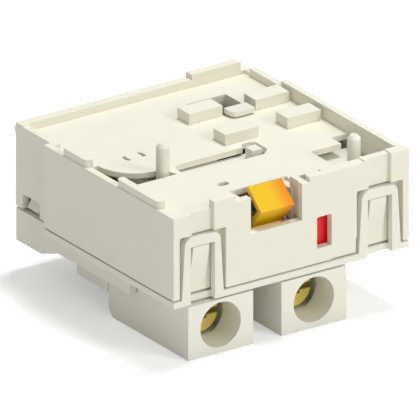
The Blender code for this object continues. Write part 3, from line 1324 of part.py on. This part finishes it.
def mounting_hook():
    """The springy hook that stands in the square pocket, its head just over the mating face."""
    stem_rear = HOOK_FRONT + HOOK_REACH
    stem = (stem_rear - HOOK_STEM, stem_rear)
    stem_x = (HOOK_LEFT + RUNNING_GAP, HOOK_LEFT + HOOK_WIDTH - RUNNING_GAP)
    foot_y = (stem[0], stem[0] + HOOK_FOOT_LENGTH)
    head_low = FLOOR_TOP + SEAM_GAP
    hook = box("mounting_hook", stem_x, stem, (WALL_BOTTOM, head_low + SUNK))
    right = HOOK_LEFT + HOOK_WIDTH
    head = [(right, HOOK_FRONT), (right, stem_rear), (HOOK_LEFT, stem_rear)]
    head += arc((HOOK_LEFT + HOOK_CORNER, HOOK_FRONT + HOOK_CORNER), HOOK_CORNER, 180.0, 270.0, 6)
    join(
        hook,
        prism("hook_head", head, head_low, head_low + HOOK_HEAD),
        box("hook_foot", stem_x, foot_y, (WALL_BOTTOM, WALL_BOTTOM + HOOK_STEM)),
    )
    hook.data.materials.append(plastic("mounting_hook", PALE))
    return hook


clear_scene()
ORIGIN = block_origin()
housing()
base_cover()
for side, box_left in zip(("left", "right"), BOX_LEFTS):
    terminal_box(f"terminal_box_{side}", box_left)
    terminal_screw(f"terminal_screw_{side}", box_left)
    clamp_plate(f"clamp_plate_{side}", box_left)
fixed_contact_left()
fixed_contact_right()
contact_tips()
contact_bridge()
contact_slide()
indicator_flag()
crank()
trip_slide()
lever()
lever_pin()
lever_spring()
springs()
mounting_hook()
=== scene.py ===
"""The looks of the auxiliary contact block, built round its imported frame.

Metres, +Z out of the mating face, -Y towards the lever and the terminal screws.
"""

import math

import bmesh
import bpy
import numpy as np
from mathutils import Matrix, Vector


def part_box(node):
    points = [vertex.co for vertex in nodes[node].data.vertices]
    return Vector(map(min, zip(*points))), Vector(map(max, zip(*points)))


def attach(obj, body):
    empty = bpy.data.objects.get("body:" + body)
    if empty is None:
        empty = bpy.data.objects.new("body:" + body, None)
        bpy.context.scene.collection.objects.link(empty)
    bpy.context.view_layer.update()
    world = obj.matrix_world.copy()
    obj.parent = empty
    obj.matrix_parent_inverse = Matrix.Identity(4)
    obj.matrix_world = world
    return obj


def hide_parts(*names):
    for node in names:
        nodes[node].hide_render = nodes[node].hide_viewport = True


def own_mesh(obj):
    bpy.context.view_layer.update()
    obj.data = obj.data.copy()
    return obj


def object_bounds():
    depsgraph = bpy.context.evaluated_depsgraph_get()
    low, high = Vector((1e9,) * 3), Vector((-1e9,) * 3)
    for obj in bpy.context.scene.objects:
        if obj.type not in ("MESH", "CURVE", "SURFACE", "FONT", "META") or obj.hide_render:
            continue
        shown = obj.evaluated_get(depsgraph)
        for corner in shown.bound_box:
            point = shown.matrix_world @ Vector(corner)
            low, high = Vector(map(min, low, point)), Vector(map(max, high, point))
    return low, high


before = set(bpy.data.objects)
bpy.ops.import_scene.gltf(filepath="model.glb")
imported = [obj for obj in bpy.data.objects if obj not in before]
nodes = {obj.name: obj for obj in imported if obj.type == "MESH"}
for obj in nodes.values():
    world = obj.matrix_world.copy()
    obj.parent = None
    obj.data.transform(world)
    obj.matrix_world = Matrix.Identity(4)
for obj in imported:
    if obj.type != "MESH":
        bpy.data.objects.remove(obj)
cad_low, cad_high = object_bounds()


# The photograph's view: the block seen from the left front and a little above, in parallel
# projection. The frame of the picture is centred a little to the right of the left front edge.

view_azimuth = math.radians(-34.265)
view_elevation = math.radians(23.161)
picture_width = 0.06627
picture_centre = Vector((-0.014261, -0.021605, 0.023966))
camera_distance = 0.4


def studio_camera():
    """A parallel camera; it stands back along the line of sight from the picture's centre."""
    back = Vector((
        math.sin(view_azimuth) * math.cos(view_elevation),
        -math.cos(view_azimuth) * math.cos(view_elevation),
        math.sin(view_elevation),
    ))
    data = bpy.data.cameras.new("studio_camera")
    data.type = "ORTHO"
    data.ortho_scale = picture_width
    data.clip_start = 0.001
    data.clip_end = 5.0
    camera = bpy.data.objects.new("studio_camera", data)
    camera.location = picture_centre + back * camera_distance
    camera.rotation_euler = back.to_track_quat("Z", "Y").to_euler()
    bpy.context.scene.collection.objects.link(camera)
    bpy.context.scene.camera = camera
    bpy.context.scene.view_settings.view_transform = "Standard"


studio_camera()


# The studio: a plain white sheet under the block, a pale sky all round and three soft lamps. The
# strongest hangs above, and the next stands to the right of the camera, so the left side falls in
# shade. A weak one on the left draws the edges of the steps there.

sky_strength = 0.42
lamp_plan = (
    ("front_softbox", (0.20, -0.42, 0.30), 0.16, 0.85),
    ("top_softbox", (0.14, 0.06, 0.60), 0.16, 2.1),
    ("edge_softbox", (-0.12, -0.45, 0.20), 0.06, 0.22),
)
lamp_aim = Vector((0.0, 0.0, 0.012))
sheet_half = 1.2
sheet_drop = 0.00002
sheet_glow = 0.30


def studio_sky():
    """An even sky for the light; to the camera it is plain white."""
    world = bpy.data.worlds.new("studio_sky")
    bpy.context.scene.world = world
    world.use_nodes = True
    tree = world.node_tree
    tree.nodes.clear()
    output = tree.nodes.new("ShaderNodeOutputWorld")
    light = tree.nodes.new("ShaderNodeBackground")
    light.inputs["Color"].default_value = (1.0, 1.0, 1.0, 1.0)
    light.inputs["Strength"].default_value = sky_strength
    white = tree.nodes.new("ShaderNodeBackground")
    white.inputs["Color"].default_value = (1.0, 1.0, 1.0, 1.0)
    white.inputs["Strength"].default_value = 1.0
    rays = tree.nodes.new("ShaderNodeLightPath")
    choose = tree.nodes.new("ShaderNodeMixShader")
    tree.links.new(rays.outputs["Is Camera Ray"], choose.inputs["Fac"])
    tree.links.new(light.outputs["Background"], choose.inputs[1])
    tree.links.new(white.outputs["Background"], choose.inputs[2])
    tree.links.new(choose.outputs["Shader"], output.inputs["Surface"])


def softbox(name, place, size, power):
    """A square lamp that looks at the block's middle; size in metres, power in watts."""
    data = bpy.data.lights.new(name, "AREA")
    data.shape = "SQUARE"
    data.size = size
    data.energy = power
    lamp = bpy.data.objects.new(name, data)
    lamp.location = place
    sight = lamp_aim - Vector(place)
    lamp.rotation_euler = sight.to_track_quat("-Z", "Y").to_euler()
    bpy.context.scene.collection.objects.link(lamp)


def studio_floor():
    """A flat sheet just under the terminal boxes; bright to the camera, yet it keeps the shadow."""
    level = cad_low[2] - sheet_drop
    corners = [
        (sheet_half * x, sheet_half * y, level)
        for x, y in ((-1.0, -1.0), (1.0, -1.0), (1.0, 1.0), (-1.0, 1.0))
    ]
    mesh = bpy.data.meshes.new("studio_floor")
    mesh.from_pydata(corners, [], [(0, 1, 2, 3)])
    floor = bpy.data.objects.new("studio_floor", mesh)
    bpy.context.scene.collection.objects.link(floor)
    material = bpy.data.materials.new("white_sheet")
    material.use_nodes = True
    tree = material.node_tree
    shader = tree.nodes["Principled BSDF"]
    shader.inputs["Base Color"].default_value = (0.90, 0.90, 0.90, 1.0)
    shader.inputs["Roughness"].default_value = 0.9
    glow = tree.nodes.new("ShaderNodeEmission")
    glow.inputs["Color"].default_value = (1.0, 1.0, 1.0, 1.0)
    glow.inputs["Strength"].default_value = sheet_glow
    rays = tree.nodes.new("ShaderNodeLightPath")
    dark = tree.nodes.new("ShaderNodeEmission")
    dark.inputs["Strength"].default_value = 0.0
    only_seen = tree.nodes.new("ShaderNodeMixShader")
    both = tree.nodes.new("ShaderNodeAddShader")
    tree.links.new(rays.outputs["Is Camera Ray"], only_seen.inputs["Fac"])
    tree.links.new(dark.outputs["Emission"], only_seen.inputs[1])
    tree.links.new(glow.outputs["Emission"], only_seen.inputs[2])
    tree.links.new(shader.outputs["BSDF"], both.inputs[0])
    tree.links.new(only_seen.outputs["Shader"], both.inputs[1])
    tree.links.new(both.outputs["Shader"], tree.nodes["Material Output"].inputs["Surface"])
    mesh.materials.append(material)


studio_sky()
for lamp_name, lamp_place, lamp_size, lamp_power in lamp_plan:
    softbox(lamp_name, lamp_place, lamp_size, lamp_power)
studio_floor()


# The base cover: a flat white moulding that closes the works from below, with the two snap loops
# in front, the ramped foot behind and the side rails. Injection moulded, with fine rounded edges.

cover_colour = (0.80, 0.785, 0.685)
moulded_edge = 0.00020
edge_share = 0.20
sharp_angle = math.radians(32.0)
weld_distance = 0.000002
weld_angle = math.radians(0.5)
flat_angle = math.radians(0.3)


def moulded_plastic(name, colour, roughness=0.56, unevenness=0.015, relief=0.000006):
    """Filled plastic as it leaves the mould.

    Colour: the base times 1 +- unevenness, by noise some 4 mm across. Roughness: the base +- 0.05
    by noise of 1 mm. Relief: noise of 0.1 mm, raised by relief metres.
    """
    material = bpy.data.materials.new(name)
    material.use_nodes = True
    tree = material.node_tree
    shader = tree.nodes["Principled BSDF"]
    shader.inputs["IOR"].default_value = 1.53
    shader.inputs["Subsurface Weight"].default_value = 0.06
    shader.inputs["Subsurface Radius"].default_value = (0.0008, 0.0007, 0.0005)
    shader.inputs["Subsurface Scale"].default_value = 1.0
    where = tree.nodes.new("ShaderNodeTexCoord")
    clouds = tree.nodes.new("ShaderNodeTexNoise")
    clouds.inputs["Scale"].default_value = 250.0
    clouds.inputs["Detail"].default_value = 3.0
    tone = tree.nodes.new("ShaderNodeValToRGB")
    tone.color_ramp.elements[0].position = 0.30
    tone.color_ramp.elements[1].position = 0.70
    for element, level in zip(tone.color_ramp.elements, (1.0 - unevenness, 1.0 + unevenness)):
        element.color = tuple(min(c * level, 1.0) for c in colour) + (1.0,)
    gloss = tree.nodes.new("ShaderNodeTexNoise")
    gloss.inputs["Scale"].default_value = 900.0
    spread = tree.nodes.new("ShaderNodeMapRange")
    spread.inputs["To Min"].default_value = roughness - 0.05
    spread.inputs["To Max"].default_value = roughness + 0.05
    skin = tree.nodes.new("ShaderNodeTexNoise")
    skin.inputs["Scale"].default_value = 10000.0
    skin.inputs["Detail"].default_value = 2.0
    raise_skin = tree.nodes.new("ShaderNodeBump")
    raise_skin.inputs["Strength"].default_value = 0.35
    raise_skin.inputs["Distance"].default_value = relief
    tree.links.new(where.outputs["Object"], clouds.inputs["Vector"])
    tree.links.new(where.outputs["Object"], gloss.inputs["Vector"])
    tree.links.new(where.outputs["Object"], skin.inputs["Vector"])
    tree.links.new(clouds.outputs["Fac"], tone.inputs["Fac"])
    tree.links.new(tone.outputs["Color"], shader.inputs["Base Color"])
    tree.links.new(gloss.outputs["Fac"], spread.inputs["Value"])
    tree.links.new(spread.outputs["Result"], shader.inputs["Roughness"])
    tree.links.new(skin.outputs["Fac"], raise_skin.inputs["Height"])
    tree.links.new(raise_skin.outputs["Normal"], shader.inputs["Normal"])
    return material


def weigh_edges(shape, edge):
    """Give each sharp edge as much of the rounding as fits beside it.

    The width is at most edge_share of the least altitude of the triangles at its two ends, where
    a triangle's altitude is twice its area over its longest side, so no flat face folds over.
    """
    weight = shape.edges.layers.float.new("bevel_weight_edge")
    altitude = {}
    for face in shape.faces:
        altitude[face] = 2.0 * face.calc_area() / max(line.calc_length() for line in face.edges)
    for line in shape.edges:
        if not line.is_manifold or line.calc_face_angle(0.0) < sharp_angle:
            continue
        room = min(altitude[face] for end in line.verts for face in end.link_faces)
        line[weight] = min(1.0, edge_share * room / edge)


def rounded_moulding(node, body, material, edge=moulded_edge):
    """A copy of the node with whole flat faces and its sharp edges rounded by up to edge metres."""
    source = nodes[node]
    piece = source.copy()
    piece.data = source.data.copy()
    piece.name = f"{node}_rounded"
    for collection in source.users_collection:
        collection.objects.link(piece)
    shape = bmesh.new()
    shape.from_mesh(piece.data)
    bmesh.ops.remove_doubles(shape, verts=shape.verts, dist=weld_distance)
    bmesh.ops.dissolve_limit(shape, angle_limit=weld_angle, verts=shape.verts, edges=shape.edges)
    bmesh.ops.triangulate(shape, faces=shape.faces[:])
    weigh_edges(shape, edge)
    shape.to_mesh(piece.data)
    shape.free()
    soften = piece.modifiers.new("rounded_edges", "BEVEL")
    soften.width = edge
    soften.segments = 2
    soften.limit_method = "WEIGHT"
    soften.use_clamp_overlap = False
    soften.miter_outer = "MITER_ARC"
    join_flat = piece.modifiers.new("whole_faces", "DECIMATE")
    join_flat.decimate_type = "DISSOLVE"
    join_flat.angle_limit = flat_angle
    settle = piece.modifiers.new("flat_faces", "WEIGHTED_NORMAL")
    settle.mode = "FACE_AREA"
    settle.weight = 100
    piece.data.materials.clear()
    piece.data.materials.append(material)
    piece.data.shade_smooth()
    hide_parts(node)
    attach(piece, body)


cover_plastic = moulded_plastic("cover_plastic", cover_colour)
rounded_moulding("base_cover", "block", cover_plastic)


# The terminal boxes: two white mouldings that hang through the cover by a neck and flange. Each
# has a round screw entry in front and a square wire entry below, in the cover's own plastic.

box_colour = (0.81, 0.795, 0.695)
box_plastic = moulded_plastic("box_plastic", box_colour, roughness=0.52)
for side in ("left", "right"):
    rounded_moulding(f"terminal_box_{side}", "block", box_plastic)


# The terminal screws: yellow passivated steel with a slot and a square recess, and painted shade
# that grows with depth.
# The shank's thread is rolled; it is added here as a ridge, and turns and travels with the screw.

passivated_colour = (0.94, 0.77, 0.20)
# Painted shade: the head's steel runs over to dark brown with depth into the slot and the square
# recess.
recess_shade_colour = (0.30, 0.20, 0.03)
recess_shade_start = 0.00015
recess_shade_depth = 0.0009
recess_shade_share = 0.85
screw_edge = 0.00008
shank_radius = 0.00175
thread_pitch = 0.0007
thread_height = 0.00013
thread_length = 0.0080
thread_free_tip = 0.0007
thread_steps = 18
thread_fade = 14.0
thread_least = 0.25
crease_angle = math.radians(50.0)


def worked_metal(name, colour, roughness, scratch_along, scratch=0.10, metallic=1.0):
    """Metal with fine scratches along one axis.

    Roughness and relief: noise squeezed 30 times across that axis, and the roughness moves by
    +- scratch. Colour: from 0.90 of the base up to the base, by noise of 1.4 mm.
    """
    material = bpy.data.materials.new(name)
    material.use_nodes = True
    tree = material.node_tree
    shader = tree.nodes["Principled BSDF"]
    shader.inputs["Metallic"].default_value = metallic
    where = tree.nodes.new("ShaderNodeTexCoord")
    stretch = tree.nodes.new("ShaderNodeMapping")
    squeeze = tuple(1.0 if axis == scratch_along else 30.0 for axis in "XYZ")
    stretch.inputs["Scale"].default_value = squeeze
    lines = tree.nodes.new("ShaderNodeTexNoise")
    lines.inputs["Scale"].default_value = 220.0
    lines.inputs["Detail"].default_value = 4.0
    spread = tree.nodes.new("ShaderNodeMapRange")
    spread.inputs["To Min"].default_value = roughness - scratch
    spread.inputs["To Max"].default_value = roughness + scratch
    clouds = tree.nodes.new("ShaderNodeTexNoise")
    clouds.inputs["Scale"].default_value = 700.0
    tone = tree.nodes.new("ShaderNodeValToRGB")
    tone.color_ramp.elements[0].position = 0.25
    tone.color_ramp.elements[1].position = 0.75
    tone.color_ramp.elements[0].color = tuple(c * 0.90 for c in colour) + (1.0,)
    tone.color_ramp.elements[1].color = tuple(colour) + (1.0,)
    relief = tree.nodes.new("ShaderNodeBump")
    relief.inputs["Strength"].default_value = 0.25
    relief.inputs["Distance"].default_value = 0.000008
    tree.links.new(where.outputs["Object"], stretch.inputs["Vector"])
    tree.links.new(where.outputs["Object"], clouds.inputs["Vector"])
    tree.links.new(stretch.outputs["Vector"], lines.inputs["Vector"])
    tree.links.new(lines.outputs["Fac"], spread.inputs["Value"])
    tree.links.new(spread.outputs["Result"], shader.inputs["Roughness"])
    tree.links.new(clouds.outputs["Fac"], tone.inputs["Fac"])
    tree.links.new(tone.outputs["Color"], shader.inputs["Base Color"])
    tree.links.new(lines.outputs["Fac"], relief.inputs["Height"])
    tree.links.new(relief.outputs["Normal"], shader.inputs["Normal"])
    return material


def run_over(material, axis, start, end, colour, most=1.0):
    """The colour runs over to another, by a smooth step along one axis, up to the share most."""
    tree = material.node_tree
    shader = tree.nodes["Principled BSDF"]
    own_tone = shader.inputs["Base Color"].links[0].from_socket
    where = tree.nodes.new("ShaderNodeTexCoord")
    split = tree.nodes.new("ShaderNodeSeparateXYZ")
    share = tree.nodes.new("ShaderNodeMapRange")
    share.interpolation_type = "SMOOTHSTEP"
    share.inputs["From Min"].default_value = start
    share.inputs["From Max"].default_value = end
    share.inputs["To Max"].default_value = most
    blend = tree.nodes.new("ShaderNodeMixRGB")
    blend.inputs["Color2"].default_value = colour + (1.0,)
    tree.links.new(where.outputs["Object"], split.inputs["Vector"])
    tree.links.new(split.outputs[axis], share.inputs["Value"])
    tree.links.new(share.outputs["Result"], blend.inputs["Fac"])
    tree.links.new(own_tone, blend.inputs["Color1"])
    tree.links.new(blend.outputs["Color"], shader.inputs["Base Color"])


def surface_piece(name, grid, body, material):
    """A mesh from a grid of points: each row closes round, and the two end rows are capped."""
    rows, columns = grid.shape[:2]
    mesh = bpy.data.meshes.new(name)
    index = np.arange(rows * columns).reshape(rows, columns)
    right = np.roll(index, -1, axis=1)
    faces = np.stack([index[:-1], right[:-1], right[1:], index[1:]], axis=-1).reshape(-1, 4)
    caps = [index[0][::-1].tolist(), index[-1].tolist()]
    mesh.from_pydata(grid.reshape(-1, 3).tolist(), [], faces.tolist() + caps)
    shape = bmesh.new()
    shape.from_mesh(mesh)
    bmesh.ops.recalc_face_normals(shape, faces=shape.faces)
    shape.to_mesh(mesh)
    shape.free()
    mesh.materials.append(material)
    piece = bpy.data.objects.new(name, mesh)
    bpy.context.scene.collection.objects.link(piece)
    piece.data.shade_smooth()
    piece.data.set_sharp_from_angle(angle=crease_angle)
    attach(piece, body)
    return piece


def wire_along(points, radius, sides=10):
    """Round wire: at each point of the path a ring, square to the tangent.

    ring(a) = point + radius (first cos(a) + second sin(a)), where first = tangent x steady and
    second = tangent x first, and steady is the mean axis that the path turns about.
    """
    tangent = np.gradient(points, axis=0)
    tangent /= np.linalg.norm(tangent, axis=1, keepdims=True)
    mean = np.cross(tangent, np.roll(tangent, 1, axis=0))[1:-1].sum(axis=0)
    steady = mean / np.linalg.norm(mean)
    first = np.cross(tangent, steady)
    first /= np.linalg.norm(first, axis=1, keepdims=True)
    second = np.cross(tangent, first)
    angle = np.linspace(0.0, 2.0 * np.pi, sides, endpoint=False)[None, :, None]
    ring = first[:, None, :] * np.cos(angle) + second[:, None, :] * np.sin(angle)
    return points[:, None, :] + radius * ring


def thread_ridge(low, high):
    """The rolled thread: a helix of one turn per pitch along Y, its ridge half sunk in the shank.

    x = middle + reach cos(a), z = middle - reach sin(a), a = 2 pi turns t; reach is the shank's
    radius, less thread_height times (1 - swell), and swell falls towards both ends.
    """
    middle = (low + high) / 2.0
    tip = high[1] - thread_free_tip
    start = tip - thread_length
    turns = (tip - start) / thread_pitch
    t = np.linspace(0.0, 1.0, int(turns * thread_steps))
    angle = 2.0 * np.pi * turns * t
    swell = np.clip(np.minimum(t, 1.0 - t) * thread_fade, thread_least, 1.0)
    reach = shank_radius - thread_height * (1.0 - swell)
    x = middle[0] + reach * np.cos(angle)
    z = middle[2] - reach * np.sin(angle)
    y = start + (tip - start) * t
    return np.stack([x, y, z], axis=-1)


passivated_steel = worked_metal("passivated_steel", passivated_colour, roughness=0.40,
                                scratch_along="X", metallic=0.55)
head_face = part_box("terminal_screw_left")[0][1]
# Painted shade, deepening from the head's face inwards, so the slot and the recess read as shaded.
run_over(passivated_steel, "Y", head_face + recess_shade_start, head_face + recess_shade_depth,
         recess_shade_colour, recess_shade_share)
for side in ("left", "right"):
    screw_name = f"terminal_screw_{side}"
    screw_low, screw_high = (np.array(corner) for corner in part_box(screw_name))
    rounded_moulding(screw_name, f"screw_{side}", passivated_steel, screw_edge)
    ridge = wire_along(thread_ridge(screw_low, screw_high), thread_height, sides=8)
    surface_piece(f"screw_thread_{side}", ridge, f"screw_{side}", passivated_steel)


# The clamp plates and the terminal bars: stamped from sheet. The clamps are bright zinc plated
# steel, and the bars and the bridge brass, with silver tips riveted on where the current breaks.

zinc_colour = (0.78, 0.78, 0.80)
brass_colour = (0.83, 0.62, 0.30)
silver_colour = (0.90, 0.89, 0.87)
sheet_edge = 0.00010
tip_edge = 0.00015

zinc_plate = worked_metal("zinc_plate", zinc_colour, roughness=0.28, scratch_along="Z")
contact_brass = worked_metal("contact_brass", brass_colour, roughness=0.30, scratch_along="Z")
tip_silver = worked_metal("tip_silver", silver_colour, roughness=0.22, scratch_along="Y",
                          scratch=0.05)
for side in ("left", "right"):
    rounded_moulding(f"clamp_plate_{side}", f"clamp_{side}", zinc_plate, sheet_edge)
    rounded_moulding(f"fixed_contact_{side}", "block", contact_brass, sheet_edge)
rounded_moulding("contact_bridge", "contact_slide", contact_brass, sheet_edge)
for end in ("front", "rear"):
    rounded_moulding(f"fixed_tip_{end}", "block", tip_silver, tip_edge)
    rounded_moulding(f"bridge_tip_{end}", "contact_slide", tip_silver, tip_edge)


# The compression springs: cold wound from bright spring wire, with the end turns laid flat on
# their seats. The springs of the two slides hang on the block; the contact spring rides in the
# carrier.

wire_colour = (0.66, 0.66, 0.68)
wire_radius = 0.00022
seat_lift = 2.1 * wire_radius
coil_steps = 28


def coil(centre, radius, low, high, turns, axis):
    """A helix along the axis, a = 2 pi turns t about the centre.

    The first and the last turn rise by seat_lift, about one wire's width, and the turns between
    share the rest of the length evenly.
    """
    t = np.linspace(0.0, 1.0, int(turns * coil_steps))
    angle = 2.0 * np.pi * turns * t
    ease = np.clip((t * turns - 1.0) / (turns - 2.0), 0.0, 1.0)
    start = np.minimum(t * turns, 1.0) * seat_lift
    finish = np.clip(t * turns - turns + 1.0, 0.0, 1.0) * seat_lift
    free = high - low - 2.0 * wire_radius - 2.0 * seat_lift
    along = low + wire_radius + start + finish + ease * free
    a = centre[0] + radius * np.cos(angle)
    b = centre[1] + radius * np.sin(angle)
    places = {"X": (along, a, b), "Y": (a, along, b)}
    return np.stack(places[axis], axis=-1)


def fit_spring(node, body, axis, turns):
    """The wire spring that stands for the node, in the node's own box."""
    low, high = (np.array(corner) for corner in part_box(node))
    middle = (low + high) / 2.0
    along = "XYZ".index(axis)
    across = [i for i in range(3) if i != along]
    radius = (high[across[1]] - low[across[1]]) / 2.0 - wire_radius
    path = coil(middle[across], radius, low[along], high[along], turns, axis)
    piece = surface_piece(f"{node}_wire", wire_along(path, wire_radius), body, spring_wire)
    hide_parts(node)
    return piece, low, high


spring_wire = worked_metal("spring_wire", wire_colour, roughness=0.24, scratch_along="X",
                           scratch=0.06)
fit_spring("contact_spring", "contact_slide", "X", turns=5.0)
wire, wire_low, wire_high = fit_spring("slide_spring", "block", "X", turns=7.0)
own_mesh(wire)
wire, wire_low, wire_high = fit_spring("trip_spring", "block", "Y", turns=8.0)
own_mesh(wire)


# The lever's torsion spring and its steel pin. The spring is coiled round the pin, right of the
# lever; its lower leg stops above the contact slide's arm, which passes under it.

torsion_wire = 0.00014
torsion_turns = 2
leg_steps = 6
arm_room = 0.00050
pin_edge = 0.00010


def torsion_path(low, high):
    """A helix about X with a straight leg along Z at each end.

    x runs evenly across the node's box; y = the pin's + r cos(a) and z = the pin's + r sin(a), over
    whole turns, so both legs leave the coil along its tangent. The lower leg is arm_room shorter.
    """
    pin = (low + high) / 2.0
    radius = (high[1] - low[1]) / 2.0 - torsion_wire
    t = np.linspace(0.0, 1.0, torsion_turns * coil_steps + 1)
    angle = 2.0 * np.pi * torsion_turns * t
    left, right = low[0] + torsion_wire, high[0] - torsion_wire
    x = left + (right - left) * t
    turn = np.stack([x, pin[1] + radius * np.cos(angle), pin[2] + radius * np.sin(angle)], axis=-1)
    foot = turn[0] + np.array([0.0, 0.0, low[2] + arm_room - pin[2]])
    tip = turn[-1] + np.array([0.0, 0.0, high[2] - pin[2]])
    lower = np.linspace(foot, turn[0], leg_steps)[:-1]
    upper = np.linspace(turn[-1], tip, leg_steps)[1:]
    return np.concatenate([lower, turn, upper])


pin_steel = worked_metal("pin_steel", wire_colour, roughness=0.25, scratch_along="X",
                         scratch=0.08)
torsion_low, torsion_high = (np.array(corner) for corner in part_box("lever_spring"))
torsion_grid = wire_along(torsion_path(torsion_low, torsion_high), torsion_wire)
torsion_piece = surface_piece("lever_spring_wire", torsion_grid, "block", spring_wire)
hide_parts("lever_spring")
rounded_moulding("lever_pin", "block", pin_steel, pin_edge)


# The works: crank, contact slide and trip slide, moulded from a slippery off-white acetal that
# needs no oil. The crank's pin and the trip slide's pin stand up through the mating face.

works_colour = (0.79, 0.775, 0.68)
works_edge = {"crank": 0.00005, "contact_slide": 0.00010, "trip_slide": 0.00005}
works_plastic = moulded_plastic("works_plastic", works_colour, roughness=0.44, relief=0.000003)
for works_piece, piece_edge in works_edge.items():
    rounded_moulding(works_piece, works_piece, works_plastic, piece_edge)


# The status flag: a small plate moulded from signal red plastic, glossier than the housing. It
# sits on the contact slide's arm and shows through the small window in the front.

flag_colour = (0.86, 0.006, 0.012)
flag_edge = 0.00012
flag_plastic = moulded_plastic("flag_plastic", flag_colour, roughness=0.34, unevenness=0.05)
rounded_moulding("indicator_flag", "contact_slide", flag_plastic, flag_edge)


# The lever: a folded plate of signal yellow plastic, with a knuckle below for its steel pin. Its
# right half runs over to orange painted shade, by a smooth step in x, as the drawing shows it.

lever_colour = (0.81, 0.49, 0.003)
# Painted shade: the orange that the lever's curved right side runs over to.
lever_shade_colour = (0.79, 0.24, 0.004)
lever_edge = 0.00014
lever_shade_start = 0.46

lever_plastic = moulded_plastic("lever_plastic", lever_colour, roughness=0.33, unevenness=0.03)
rounded_moulding("lever", "lever", lever_plastic, lever_edge)
lever_left, lever_right = (corner[0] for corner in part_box("lever"))
lever_shade_from = lever_left + lever_shade_start * (lever_right - lever_left)
# Painted shade over the right part of the yellow lever, by a smooth step in x.
run_over(lever_plastic, "X", lever_shade_from, lever_right, lever_shade_colour)


# The housing: the large ivory moulding with the mating face, its rim, bosses and openings. The
# mould leaves crisp but rounded edges and a fine even grain on every face.

housing_colour = (0.80, 0.78, 0.66)
housing_plastic = moulded_plastic("housing_plastic", housing_colour, roughness=0.60)
rounded_moulding("housing", "block", housing_plastic)


# The mounting hook: a springy catch that stands in the square pocket, moulded from the same
# off-white acetal as the works and a little glossier.

hook_colour = (0.79, 0.775, 0.68)
hook_edge = 0.00010
hook_plastic = moulded_plastic("hook_plastic", hook_colour, roughness=0.36)
rounded_moulding("mounting_hook", "block", hook_plastic, hook_edge)
